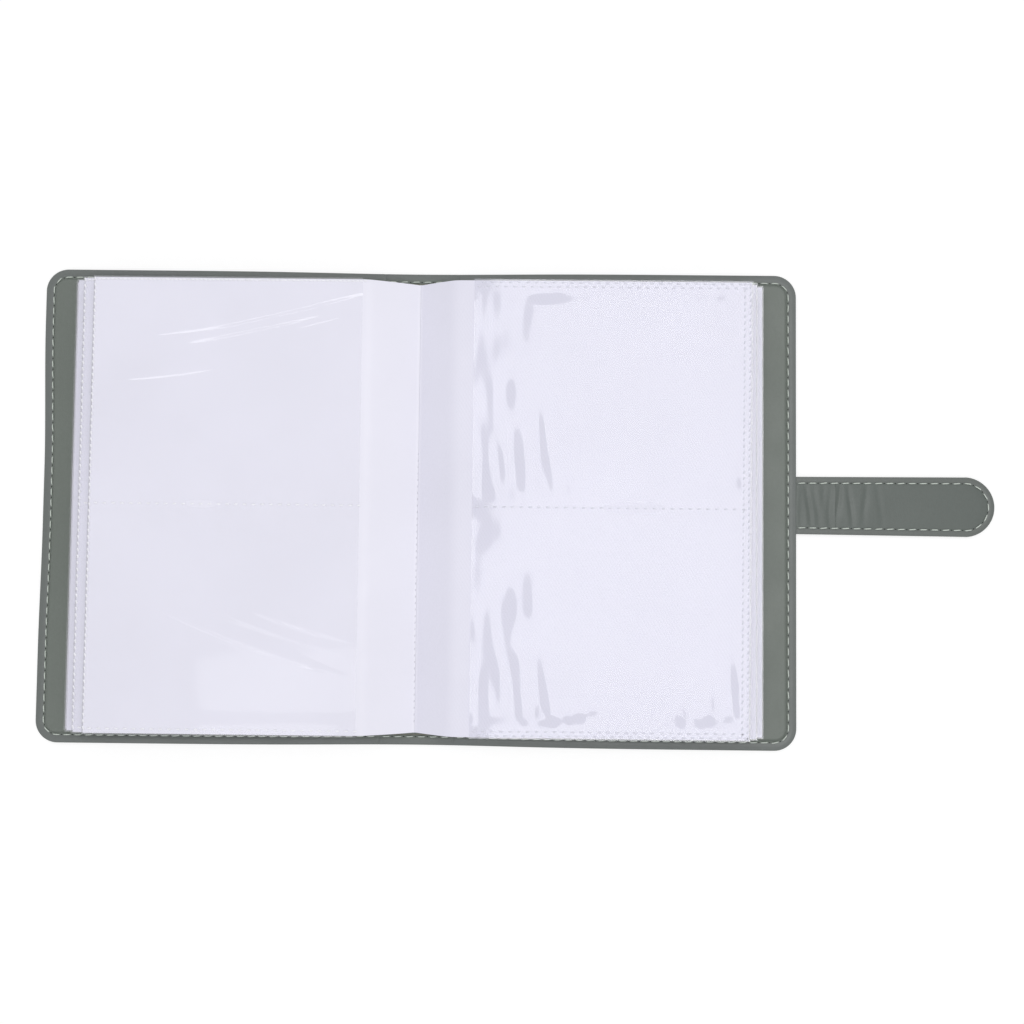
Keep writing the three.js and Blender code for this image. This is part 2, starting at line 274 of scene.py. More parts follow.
def store_rim(made: bpy.types.Object, inset: Array, seam: float) -> None:
    """Stores the point attribute that masks the rim's painted reflection and shade: 1 outside a seam and 0
    inside it.

    Args:
        made: object that gets it.
        inset: distance of each point from the edge.
        seam: distance of the seam from the edge.
    """
    value = 1 - smooth(seam - 0.5, seam + 0.1, inset)
    rim = made.data.attributes.new("rim", "FLOAT", "POINT")
    rim.data.foreach_set("value", value.astype(np.float32))


@dataclass(frozen=True)
class Ripples:
    """Sum of sine waves with seeded directions, lengths and starts.

    height(x, y) = sum of a * sin(2 pi (x cos t + y sin t) / length + start), scaled so that the
    waves together reach about one.
    """

    seed: int
    shortest: float
    longest: float
    heading: float = 0
    spread: float = 180
    waves: int = 9

    def height(self, x: Array, y: Array) -> Array:
        """Height of the ripples.

        Args:
            x: places across, in millimetres.
            y: places along.

        Returns:
            A height from about -1 to 1 at each place.
        """
        dice = np.random.default_rng(self.seed)
        turn = np.radians(self.heading + self.spread * dice.uniform(-1, 1, self.waves))
        length = np.exp(dice.uniform(math.log(self.shortest), math.log(self.longest), self.waves))
        start = dice.uniform(0, 2 * math.pi, self.waves)
        share = length / length.sum()
        ahead = x[..., None] * np.cos(turn) + y[..., None] * np.sin(turn)
        phase = ahead * 2 * math.pi / length + start
        return 1.6 * (np.sin(phase) * share).sum(-1)


# Finishes


class Shader:
    """Small helper that builds a material round one Principled shader."""

    def __init__(self, name: str) -> None:
        """Starts a material.

        Args:
            name: its name.
        """
        self.material = bpy.data.materials.new(name)
        self.material.use_nodes = True
        self.tree = self.material.node_tree
        self.main = self.tree.nodes["Principled BSDF"]
        self.place = self.tree.nodes.new("ShaderNodeTexCoord").outputs["Object"]

    def put(self, **values: object) -> None:
        """Sets numbers and colours straight on the Principled shader's sockets.

        Args:
            values: a number or colour for each socket's name, with underscores for its spaces.
        """
        for key, value in values.items():
            socket = self.main.inputs[key.replace("_", " ")]
            socket.default_value = (*value, 1) if isinstance(value, tuple) else value

    def node(self, kind: str, link: dict | None = None, **settings: object) -> bpy.types.Node:
        """Adds a node.

        Args:
            kind: node type without the ShaderNode prefix.
            link: sockets or plain values for its inputs, by name or index.
            settings: properties of the node.

        Returns:
            The new node.
        """
        made = self.tree.nodes.new("ShaderNode" + kind)
        for key, value in settings.items():
            setattr(made, key, value)
        for key, value in (link or {}).items():
            if isinstance(value, bpy.types.NodeSocket):
                self.tree.links.new(value, made.inputs[key])
            else:
                made.inputs[key].default_value = value
        return made

    def noise(self, scale: float, detail: float = 3, rough: float = 0.5, place: object = None) -> object:
        """Noise texture's value in object coordinates; scale is in cells to a metre."""
        link = {"Vector": place or self.place, "Scale": scale, "Detail": detail, "Roughness": rough}
        return self.node("TexNoise", link).outputs[0]

    def ramp(
        self, value: object, low: float, high: float, from_low: float = 0, from_high: float = 1
    ) -> object:
        """Value brought from one range to another, clamped."""
        link = {0: value, 1: from_low, 2: from_high, 3: low, 4: high}
        return self.node("MapRange", link).outputs[0]

    def math(self, operation: str, first: object, second: object = 0.0) -> object:
        """Result of a Math node."""
        return self.node("Math", {0: first, 1: second}, operation=operation).outputs[0]

    def tone(self, value: object, dark: Colour, light: Colour) -> object:
        """Colour between two colours.

        Args:
            value: socket that runs from 0 to 1.
            dark: colour at 0.
            light: colour at 1.

        Returns:
            The socket with the colour.
        """
        mix = self.node("Mix", {0: value}, data_type="RGBA")
        mix.inputs[6].default_value = (*dark, 1)
        mix.inputs[7].default_value = (*light, 1)
        return mix.outputs[2]

    def colour(self, socket: object) -> None:
        """Links a colour to the shader."""
        self.tree.links.new(socket, self.main.inputs["Base Color"])

    def rough(self, socket: object) -> None:
        """Links a value to the shader's roughness."""
        self.tree.links.new(socket, self.main.inputs["Roughness"])

    def relief(self, height: object, depth: float, strength: float = 1, under: object = None) -> object:
        """Bump, linked to the shader.

        Args:
            height: socket with a height of 0 to 1.
            depth: what a height of 1 stands for, in metres.
            strength: the bump's strength.
            under: another bump that it lies on.

        Returns:
            The socket with the normal.
        """
        link = {"Height": height, "Distance": depth, "Strength": strength}
        if under is not None:
            link["Normal"] = under
        made = self.node("Bump", link).outputs[0]
        self.tree.links.new(made, self.main.inputs["Normal"])
        return made


def shade(colour: Colour, factor: float) -> Colour:
    """The colour made darker or lighter by a factor."""
    return tuple(min(1.0, c * factor) for c in colour)


@dataclass(frozen=True)
class CoatedFabric:
    """Soft polyurethane-coated fabric: fine pebbled grain, broad mottling, and a greyer tone painted on the
    band outside the stitch line as the rolled rim's reflection and shade.
    """

    name: str
    colour: Colour
    # colour painted on the band outside the stitch line: the rolled rim's reflection and shade
    rim: Colour
    roughness: float = 0.56
    grain: float = 1500
    grain_depth: float = 0.00004

    def material(self) -> bpy.types.Material:
        """Builds the material."""
        s = Shader(self.name)
        cloud = s.ramp(s.noise(14, 4), 0, 1, 0.35, 0.65)
        fleck = s.ramp(s.noise(900, 2, 0.6), 0, 1, 0.3, 0.7)
        base = s.tone(cloud, shade(self.colour, 0.965), shade(self.colour, 1.035))
        # Painted reflection and shade: the band outside the stitch line takes the rim colour.
        rim = s.node("Attribute", attribute_name="rim").outputs["Fac"]
        edge = s.node("Mix", {0: rim, 6: base}, data_type="RGBA")
        edge.inputs[7].default_value = (*self.rim, 1)
        speck = s.node("Mix", {0: 0.12, 6: edge.outputs[2]}, data_type="RGBA", blend_type="MULTIPLY")
        s.tree.links.new(s.tone(fleck, (0.55, 0.55, 0.55), (1, 1, 1)), speck.inputs[7])
        s.colour(speck.outputs[2])
        s.rough(s.ramp(s.noise(60, 3), self.roughness - 0.05, self.roughness + 0.06, 0.3, 0.7))
        cells = s.node("TexVoronoi", {"Vector": s.place, "Scale": self.grain}, feature="F1")
        pebble = s.relief(cells.outputs["Distance"], self.grain_depth, 0.55)
        s.relief(s.noise(420, 4, 0.6), 0.00009, 0.35, pebble)
        s.put(IOR=1.5, Sheen_Weight=0.08, Sheen_Roughness=0.5)
        return s.material


@dataclass(frozen=True)
class DividerSheet:
    """White polypropylene divider; the embossed face has a fine lattice of diamonds."""

    name: str
    colour: Colour
    embossed: bool
    pitch: float = 1.15

    def material(self) -> bpy.types.Material:
        """Builds the material; the lattice is two sets of sine ridges at 60 degrees to each other."""
        s = Shader(self.name)
        cloud = s.ramp(s.noise(22, 3), 0, 1, 0.35, 0.65)
        s.colour(s.tone(cloud, shade(self.colour, 0.985), shade(self.colour, 1.012)))
        s.rough(s.ramp(s.noise(120, 3), 0.4, 0.52, 0.3, 0.7))
        if self.embossed:
            axis = s.node("SeparateXYZ", {0: s.place}).outputs
            turns = 2 * math.pi / (self.pitch * MM)
            ridges = []
            for sign in (1, -1):
                along = s.math("MULTIPLY", axis[0], 0.87 * turns)
                slant = s.math("ADD", along, s.math("MULTIPLY", axis[1], 0.5 * sign * turns))
                ridges.append(s.math("ABSOLUTE", s.math("SINE", s.math("MULTIPLY", slant, 0.5))))
            lattice = s.math("POWER", s.math("MULTIPLY", ridges[0], ridges[1]), 0.6)
            s.relief(lattice, 0.00006, 0.5)
        else:
            s.relief(s.noise(700, 3), 0.00003, 0.3)
        s.put(IOR=1.49)
        return s.material


@dataclass(frozen=True)
class ClearFilm:
    """Thin clear pocket film, glossy with faint streaks."""

    name: str
    colour: Colour
    alpha: float = 0.16
    roughness: float = 0.05
    index: float = 2.4

    def material(self) -> bpy.types.Material:
        """Builds the material."""
        s = Shader(self.name)
        s.colour(s.tone(s.ramp(s.noise(30, 3), 0, 1, 0.35, 0.65), shade(self.colour, 0.97), self.colour))
        s.rough(s.ramp(s.noise(45, 2), self.roughness * 0.7, self.roughness * 1.6, 0.3, 0.7))
        s.relief(s.noise(170, 2, 0.4), 0.00003, 0.25)
        s.put(Alpha=self.alpha, IOR=self.index)
        s.material.surface_render_method = "BLENDED"
        return s.material


@dataclass(frozen=True)
class WeldedFilm:
    """Pressed film or set glue: duller than the clear film, mottled by the tool."""

    name: str
    colour: Colour

    def material(self) -> bpy.types.Material:
        """Builds the material."""
        s = Shader(self.name)
        s.colour(s.tone(s.ramp(s.noise(400, 2), 0, 1, 0.3, 0.7), shade(self.colour, 0.92), self.colour))
        s.rough(s.ramp(s.noise(500, 2), 0.22, 0.4, 0.3, 0.7))
        s.relief(s.noise(1400, 2), 0.00003, 0.5)
        s.put(IOR=1.5)
        return s.material


@dataclass(frozen=True)
class SewingThread:
    """Twisted polyester thread: slanting plies, a diagonal wave in object coordinates."""

    name: str
    colour: Colour

    def material(self) -> bpy.types.Material:
        """Builds the material."""
        s = Shader(self.name)
        link = {"Vector": s.place, "Scale": 900, "Distortion": 1.5, "Detail": 2}
        wave = s.node("TexWave", link, bands_direction="DIAGONAL")
        s.colour(s.tone(wave.outputs[1], shade(self.colour, 0.86), self.colour))
        s.rough(s.ramp(s.noise(800, 2), 0.55, 0.7, 0.3, 0.7))
        s.relief(wave.outputs[1], 0.00006, 0.6)
        s.put(IOR=1.5, Sheen_Weight=0.2)
        return s.material


@dataclass(frozen=True)
class NeedleHole:
    """Shadowed puncture in the coated fabric."""

    name: str
    colour: Colour

    def material(self) -> bpy.types.Material:
        """Builds the material."""
        s = Shader(self.name)
        s.colour(s.tone(s.noise(2000, 2), shade(self.colour, 0.7), self.colour))
        s.relief(s.noise(2500, 2), 0.00003, 0.5)
        s.put(Roughness=0.9, IOR=1.3)
        return s.material


@dataclass(frozen=True)
class FibreStock:
    """Board or paper made of felted fibres."""

    name: str
    colour: Colour

    def material(self) -> bpy.types.Material:
        """Builds the material."""
        s = Shader(self.name)
        fibres = s.noise(600, 6, 0.7)
        s.colour(s.tone(s.ramp(fibres, 0, 1, 0.3, 0.7), shade(self.colour, 0.88), shade(self.colour, 1.05)))
        s.relief(fibres, 0.00005, 0.5)
        s.put(Roughness=0.9, IOR=1.4)
        return s.material


@dataclass(frozen=True)
class PlatedSteel:
    """Nickel-plated magnet disc with fine turning marks."""

    name: str
    colour: Colour

    def material(self) -> bpy.types.Material:
        """Builds the material."""
        s = Shader(self.name)
        rings = s.node("TexWave", {"Vector": s.place, "Scale": 400, "Distortion": 2}, wave_type="RINGS")
        s.colour(s.tone(s.noise(200, 3), shade(self.colour, 0.9), self.colour))
        s.rough(s.ramp(rings.outputs[1], 0.25, 0.4))
        s.relief(rings.outputs[1], 0.00001, 0.4)
        s.put(Metallic=1.0, IOR=2.5)
        return s.material


@dataclass(frozen=True)
class Palette:
    """All the finishes of the album, built once."""

    # Each coated fabric's second colour is painted reflection and shade on its rolled rim: greyer than the
    # face, darker on the lining and skin, lighter on the strap.
    lining: CoatedFabric = CoatedFabric("album_lining", linear(106, 113, 107), linear(104, 109, 107), 0.4)
    skin: CoatedFabric = CoatedFabric("album_skin", linear(104, 111, 106), linear(102, 107, 105), 0.45)
    strap_lining: CoatedFabric = CoatedFabric(
        "strap_lining", linear(92, 99, 95), linear(99, 104, 101), 0.42
    )
    smooth_sheet: DividerSheet = DividerSheet("divider_smooth", linear(234, 233, 245), False)
    embossed_sheet: DividerSheet = DividerSheet("divider_embossed", linear(226, 225, 239), True)
    film: ClearFilm = ClearFilm("pocket_film", linear(238, 238, 249))
    soft_film: ClearFilm = ClearFilm("pocket_film_soft", linear(246, 246, 254), alpha=0.085, roughness=0.06)
    inner_film: ClearFilm = ClearFilm("pocket_film_inner", linear(240, 240, 250), alpha=0.015)
    # Lit and shaded copies of one pressed film: the first is painted lighter for the left page's pads, the
    # second painted darker as shade for the right page's pads.
    weld: WeldedFilm = WeldedFilm("pocket_weld", linear(245, 245, 252))
    dull_weld: WeldedFilm = WeldedFilm("pocket_weld_dull", linear(222, 222, 235))
    glue: WeldedFilm = WeldedFilm("gutter_glue", linear(206, 205, 218))
    thread: SewingThread = SewingThread("sewing_thread", linear(206, 214, 206))
    hole: NeedleHole = NeedleHole("needle_hole", linear(60, 65, 60))
    board: FibreStock = FibreStock("cover_board", linear(138, 130, 116))
    binding: FibreStock = FibreStock("glued_binding", linear(222, 222, 234))
    magnet: PlatedSteel = PlatedSteel("magnet_plating", linear(156, 156, 160))

    def build(self) -> dict[str, bpy.types.Material]:
        """Makes every finish's material, by field name."""
        return {name: getattr(self, name).material() for name in self.__dataclass_fields__}


class Wardrobe:
    """Dresses pieces, puts them on their bodies and reports them."""

    def __init__(self) -> None:
        """Builds the palette."""
        self.materials = Palette().build()

    def dress(self, piece: bpy.types.Object, slot: str, *finishes: str) -> bpy.types.Object:
        """Gives a piece its finishes.

        Args:
            piece: object to dress.
            slot: not used.
            finishes: palette names, one for each material index of the mesh.

        Returns:
            The same object.
        """
        piece.data.materials.clear()
        for finish in finishes:
            piece.data.materials.append(self.materials[finish])
        return piece

    def seat(self, piece: bpy.types.Object, body: str, *nodes: str) -> bpy.types.Object:
        """Puts a piece on one body and reports it.

        Args:
            piece: object to seat.
            body: body that it rides on.
            nodes: CAD nodes that the piece stands for.

        Returns:
            The same object.
        """
        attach(piece, body)
        if nodes:
            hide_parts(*nodes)
        LOG.info("%s rides on %s", piece.name, body)
        return piece

    def bend(
        self, piece: bpy.types.Object, first: str, second: str, start: float, end: float, *nodes: str
    ) -> bpy.types.Object:
        """Bends a piece between two bodies.

        Args:
            piece: object whose transform is baked.
            first: body before start.
            second: body after end.
            start: not used.
            end: not used.
            nodes: CAD nodes that the piece stands for.

        Returns:
            The same object.
        """
        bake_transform(piece)
        if nodes:
            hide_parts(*nodes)
        LOG.info("%s bends from %s to %s", piece.name, first, second)
        return piece


# Case


@dataclass
class Case:
    """The soft case: an outer skin and a lining, sewn together round the edge over stiff boards."""

    wardrobe: Wardrobe
    height: float = 194
    cover_width: float = 139
    fold: float = 15
    radius: float = 9
    skin: float = 0.8
    board: float = 1.2
    lining: float = 0.6
    fold_gap: float = 0.85
    edge_band: float = 3.8
    crease_band: float = 1.6
    ramp: float = 1.1
    stitch_inset: float = 3.3
    corner_steps: int = 14
    waist: float = 0.8
    waist_width: float = 48
    flare_top: float = 1.2
    flare_bottom: float = 0.5
    seam_dip: float = 0.16
    seam_width: float = 0.42
    rim_roll: float = 0.1
    rim_roll_inset: float = 1.7
    rim_roll_width: float = 0.8
    fold_dip: float = 0.2
    fold_width: float = 0.45
    panel_swell: float = 0.07
    overlap: float = 0.02
    play: float = 0.01
    under_seam_dip: float = 0.26
    under_seam_width: float = 0.45
    under_fold_dip: float = 0.3
    under_fold_width: float = 0.5
    inner_inset: float = 20
    bend_half: float = 1.4
    insets: tuple[float, ...] = (
        *(0.45, 0.8, 1.25, 1.7, 2.15, 2.55, 2.85, 3.1, 3.3, 3.5),
        *(3.75, 4.0, 4.25, 4.5, 4.75, 5.0, 5.4, 6.0, 7.4, 9.0),
    )

    @property
    def fore_edge(self) -> float:
        """Distance of the cover's fore edge from the spine's middle."""
        return self.fold + self.cover_width

    @property
    def reach(self) -> float:
        """Half the height between the corner rings."""
        return self.height / 2 - self.radius

    def columns(self) -> Array:
        """Places across the half from the spine's middle, close together at the fold."""
        near = np.arange(-4.2, 4.21, 0.3) + self.fold
        far = np.linspace(near[-1], self.fore_edge - self.radius, 60)
        return np.concatenate([np.linspace(0, near[0], 9)[:-1], near, far[1:]])

    def rows(self) -> Array:
        """Places up the cover between the corner rings."""
        return np.linspace(-self.reach, self.reach, 81)

    def waisted(self, x: Array, y: Array) -> Array:
        """Places y drawn in at the spine: y (1 - waist / reach times a bell round x = 0)."""
        return y * (1 - self.waist / self.reach * bump(x, 0, self.waist_width))

    def stations(self) -> tuple[Array, Array]:
        """Walks round the half from the spine's lower end to its upper end.

        Returns:
            Points on the rectangle that lies one corner radius inside the edge, and the outward
            direction at each: a point at an inset d is the rectangle's point plus (radius - d)
            times the direction, which rounds the corners.
        """
        x, y = self.columns(), self.rows()
        turn = np.linspace(0, math.pi / 2, self.corner_steps + 1)[1:-1]
        corner = np.full(len(turn), x[-1])
        anchor_x = np.concatenate([x, corner, np.full(len(y), x[-1]), corner, x[::-1]])
        ends = [np.full(len(x) + len(turn), level) for level in (y[0], y[-1])]
        anchor_y = self.waisted(anchor_x, np.concatenate([ends[0], y, ends[1]]))
        out_x = np.concatenate([0 * x, np.sin(turn), 1 + 0 * y, np.cos(turn), 0 * x])
        out_y = np.concatenate([0 * x - 1, -np.cos(turn), 0 * y, np.sin(turn), 0 * x + 1])
        return np.stack([anchor_x, anchor_y], -1), np.stack([out_x, out_y], -1)

    def flared(self, points: Array, side: Side, way: float = 1) -> Array:
        """Moves points so that the front cover's fore edge stands out above and below the strap.

        The shift along x climbs smoothly from none, where the closed strap passes, to one of its
        own at either end, and fades in over the outer third of the cover.

        Args:
            points: places in the half's own frame, x and y first.
            side: half that they belong to; only the front cover is moved.
            way: 1 to move them out, -1 to move them back.

        Returns:
            The moved copy.
        """
        moved = points.copy()
        if side is Side.LEFT:
            y = points[:, 1]
            out = self.flare_top * smooth(15, 75, -y) + self.flare_bottom * smooth(10, 60, y)
            moved[:, 0] += way * out * smooth(105, 150, points[:, 0])
        return moved

    def lining_top(self, x: Array, y: Array, inset: Array) -> Array:
        """Height of the lining's face.

        The sewn band lies at skin plus lining. The lining climbs by the board's thickness inside
        the edge and beside the fold, swells a little inside the seam, is drawn down along the
        stitch line and the fold, rolls over at the rim and undulates gently.

        Args:
            x: distances from the spine's middle.
            y: places up the cover.
            inset: distances from the edge.

        Returns:
            The height at each place.
        """
        past = np.abs(x - self.fold)
        foot = self.fold_gap + self.crease_band
        climb = smooth(self.edge_band, self.edge_band + self.ramp, inset)
        climb = climb * smooth(foot, foot + self.ramp, past)
        roll = self.rim_roll * bump(inset, self.rim_roll_inset, self.rim_roll_width)
        seam = -self.seam_dip * bump(inset, self.stitch_inset, self.seam_width) + roll
        crease = -self.fold_dip * bump(past, 0, self.fold_width)
        swell = self.panel_swell * Ripples(11, 45, 120).height(x, y) * smooth(3.3, 8.5, inset)
        return self.skin + self.lining + climb * self.board + seam + crease + swell

    def lining_under(self, x: Array, y: Array, inset: Array) -> Array:
        """Height of the lining's back: its thickness below the face, but never below the skin."""
        level = self.lining_top(x, y, inset) - self.lining + self.overlap
        return np.maximum(level, self.skin + self.play)

    def skin_top(self, x: Array, y: Array, inset: Array) -> Array:
        """Height of the skin's inner face, flat."""
        return np.full_like(x, self.skin)

    def skin_under(self, x: Array, y: Array, inset: Array) -> Array:
        """Height of the skin's outer face: flat on the table, drawn in along the seam and the fold."""
        past = np.abs(x - self.fold)
        seam = self.under_seam_dip * bump(inset, self.stitch_inset, self.under_seam_width)
        return seam + self.under_fold_dip * bump(past, 0, self.under_fold_width) + 0 * y

    def shell(self, name: str, side: Side, top: Height, under: Height) -> bpy.types.Object:
        """Closed sheet over one half of the case.

        Rings of points run round the edge at each inset, joined over a rounded rim, and the
        rectangle inside them is a plain grid on both faces.

        Args:
            name: object's name.
            side: half of the album.
            top: height of the upper face as a function of x, y and inset.
            under: height of the lower face.

        Returns:
            The new object, with a point attribute that is 1 outside the stitch line, where the rim's
            painted reflection and shade go.
        """
        anchor, out = self.stations()
        low = [self.ring(anchor, out, under, d) for d in self.insets]
        high = [self.ring(anchor, out, top, d) for d in self.insets]
        rings = np.stack(low[::-1] + rolled_rim(high[0], low[0], out, self.insets[0]) + high)
        x, y = np.meshgrid(self.columns(), self.rows(), indexing="ij")
        y = self.waisted(x, y)
        deep = np.full_like(x, float(self.inner_inset))
        grids = [np.stack([x, y, height(x, y, deep)], -1) for height in (under, top)]
        count = rings.shape[0] * rings.shape[1]
        flat = x.size
        faces = np.concatenate(
            [
                grid_faces(*rings.shape[:2]),
                grid_faces(*x.shape, count),
                grid_faces(*x.shape, count + flat),
            ]
        )
        points = np.concatenate([rings.reshape(-1, 3)] + [g.reshape(-1, 3) for g in grids])
        made = make_object(name, self.flared(points, side), faces.tolist(), side is Side.LEFT)
        close_up(made, 35)
        self.mark_rim(made, side)
        return made

    def ring(self, anchor: Array, out: Array, height: Height, inset: float) -> Array:
        """Points at one inset all round the half.

        Args:
            anchor: points on the rectangle inside the edge.
            out: outward direction at each.
            height: height of the face as a function of x, y and inset.
            inset: distance from the edge.

        Returns:
            An array of points.
        """
        xy = anchor + (self.radius - inset) * out
        z = height(xy[:, 0], xy[:, 1], np.full(len(xy), float(inset)))
        return np.concatenate([xy, z[:, None]], -1)

    def mark_rim(self, made: bpy.types.Object, side: Side) -> None:
        """Stores the mask of the rim's painted reflection and shade: a point's inset is the radius less its
        distance from the rectangle inside.

        Args:
            made: object that gets it.
            side: half of the album that it covers.
        """
        flat = self.flared(plan(made) * side.value, side, -1)
        x, y = flat[:, 0], np.abs(flat[:, 1])
        past_x = np.maximum(x - (self.fore_edge - self.radius), 0)
        past_y = np.maximum(y - self.reach, 0)
        store_rim(made, self.radius - np.hypot(past_x, past_y), self.stitch_inset)

    def build(self) -> None:
        """Makes both halves of the skin and of the lining."""
        for side in Side:
            for layer, top, under in (
                ("skin", self.skin_top, self.skin_under),
                ("lining", self.lining_top, self.lining_under),
            ):
                piece = self.shell(f"case_{layer}_{side.cover}", side, top, under)
                self.wardrobe.dress(piece, layer, layer)
                nodes = [f"{layer}_{side.cover}"] + ([f"{layer}_spine"] if side is Side.RIGHT else [])
                if side is Side.RIGHT and layer == "skin":
                    nodes.append("strap_tab")
                at, gap = side.value * self.fold, side.value * self.bend_half
                self.wardrobe.bend(piece, "spine", f"{side.cover}_cover", at - gap, at + gap, *nodes)


@dataclass
class Sewing:
    """A row of lockstitches along a path, seen on both faces, with the needle holes between them."""

    wardrobe: Wardrobe
    pitch: float = 4.4
    length: float = 2.95
    width: float = 0.23
    height: float = 0.2
    hole: float = 0.24
    hole_depth: float = 0.05
    rise: float = 0.3
    sink: float = 0.12
    sight: float = 0.8
    lean: float = 3
    lean_play: float = 1.6
    seed: int = 5

    def stitch(self) -> tuple[Array, Array]:
        """One stitch: an elliptical thread whose middle stands up and whose ends dive into the holes.

        Returns:
            Points and quads. Along the thread t runs from -1 to 1, the middle line's height is
            rise (1 - t^4) less sink, and the section shrinks as the root of 1 - 0.96 t^6.
        """
        t = np.linspace(-1, 1, 9)
        turn = np.linspace(0, 2 * math.pi, 7)[:-1]
        thin = np.sqrt(1 - np.abs(t) ** 6 * 0.96)[:, None]
        rise = (self.rise * (1 - t**4) - self.sink)[:, None]
        x = np.repeat(t[:, None] * self.length / 2, len(turn), 1)
        y = self.width * thin * np.cos(turn)
        z = rise + self.height * thin * np.sin(turn)
        points = np.stack([x, y, z], -1).reshape(-1, 3)
        return points, grid_faces(len(t), len(turn), wrap=True)

    def puncture(self) -> tuple[Array, Array]:
        """A low dome with eight sides, dark, over the place where the needle went in."""
        turn = np.linspace(0, 2 * math.pi, 9)[:-1]
        rings = [(1.0, 0.0), (0.75, 0.045), (0.02, 0.06)]
        x, y = self.hole * 1.25 * np.cos(turn), self.hole * np.sin(turn)
        points = [np.stack([r * x, r * y, z + 0 * turn], -1) for r, z in rings]
        return np.concatenate(points), grid_faces(3, 8, wrap=True)

    def sew(
        self, name: str, path: Array, level: float, face: Face, body: str, slot: str, *nodes: str
    ) -> None:
        """Sews one row.

        Args:
            name: first part of the objects' names.
            path: points of the row, in millimetres, two columns.
            level: height of the surface that the thread lies in.
            face: whether the row is seen from above or from below.
            body: body that it rides on.
            slot: material slot of the thread.
            nodes: CAD nodes that the row stands for.
        """
        step = np.hypot(*np.diff(path, axis=0).T)
        run = np.concatenate([[0], np.cumsum(step)])
        count = max(1, round(run[-1] / self.pitch))
        at = (np.arange(count) + 0.5) * run[-1] / count
        dice = np.random.default_rng(self.seed + len(name))
        x, y = self.follow(path, run, at)
        ahead = self.follow(path, run, at + self.sight) - self.follow(path, run, at - self.sight)
        lean = np.radians(dice.normal(self.lean, self.lean_play, count))
        angle = np.arctan2(ahead[1], ahead[0]) + lean
        along = np.stack([np.cos(angle), np.sin(angle), 0 * angle], -1)
        up = np.tile([0.0, 0.0, float(face.value)], (count, 1))
        places = np.stack([x, y, level + 0 * x], -1)
        shape, faces = self.stitch()
        thread = copies(name, shape, faces, places, along, up)
        self.wardrobe.seat(self.wardrobe.dress(thread, slot, "thread"), body, *nodes)
        shape, faces = self.puncture()
        x, y = self.follow(path, run, at[:-1] + np.diff(at) / 2)
        places = np.stack([x, y, level - self.hole_depth * face.value + 0 * x], -1)
        holes = copies(name + "_holes", shape, faces, places, along[:-1], up[:-1])
        self.wardrobe.seat(self.wardrobe.dress(holes, slot, "hole"), body)

    def follow(self, path: Array, run: Array, at: Array) -> Array:
        """Places at given lengths along a path.

        Args:
            path: points of the path, two columns.
            run: length along the path at each of its points.
            at: lengths asked for.

        Returns:
            A row of x and a row of y.
        """
        return np.stack([np.interp(at, run, path[:, axis]) for axis in (0, 1)])


@dataclass
class CaseSewing:
    """Perimeter sewing of the case, on its lining and on its outer skin."""

    case: Case
    sewing: Sewing
    fold_play: float = 0.75
    bed: float = 0.04
    under_level: float = 0.2

    def half_path(self, side: Side) -> Array:
        """Stitch line round one cover, from one end of the fold to the other.

        Args:
            side: the cover's side.

        Returns:
            Points of the line, two columns.
        """
        anchor, out = self.case.stations()
        path = anchor + (self.case.radius - self.case.stitch_inset) * out
        path = path[path[:, 0] >= self.case.fold + self.fold_play]
        return self.case.flared(path, side) * side.value

    def build(self) -> None:
        """Sews both covers and the two ends of the spine, above and below."""
        case = self.case
        above, below = case.skin + case.lining - self.bed, self.under_level
        reach = case.fold - self.fold_play
        for face, level, word in ((Face.UPPER, above, "inside"), (Face.LOWER, below, "outside")):
            for side in Side:
                nodes = [f"thread_{side.cover}"] if face is Face.UPPER else []
                name, body = f"sewing_{side.cover}_{word}", f"{side.cover}_cover"
                self.sewing.sew(name, self.half_path(side), level, face, body, "thread", *nodes)
            for end, sign in (("top", 1), ("bottom", -1)):
                x = np.linspace(-reach, reach, 40)
                drawn_in = case.waist * bump(x, 0, case.waist_width)
                path = np.stack([x, sign * (case.height / 2 - case.stitch_inset - drawn_in)], -1)
                nodes = [f"thread_spine_{end}"] if face is Face.UPPER else []
                self.sewing.sew(f"sewing_spine_{end}_{word}", path, level, face, "spine", "thread", *nodes)


# Strap


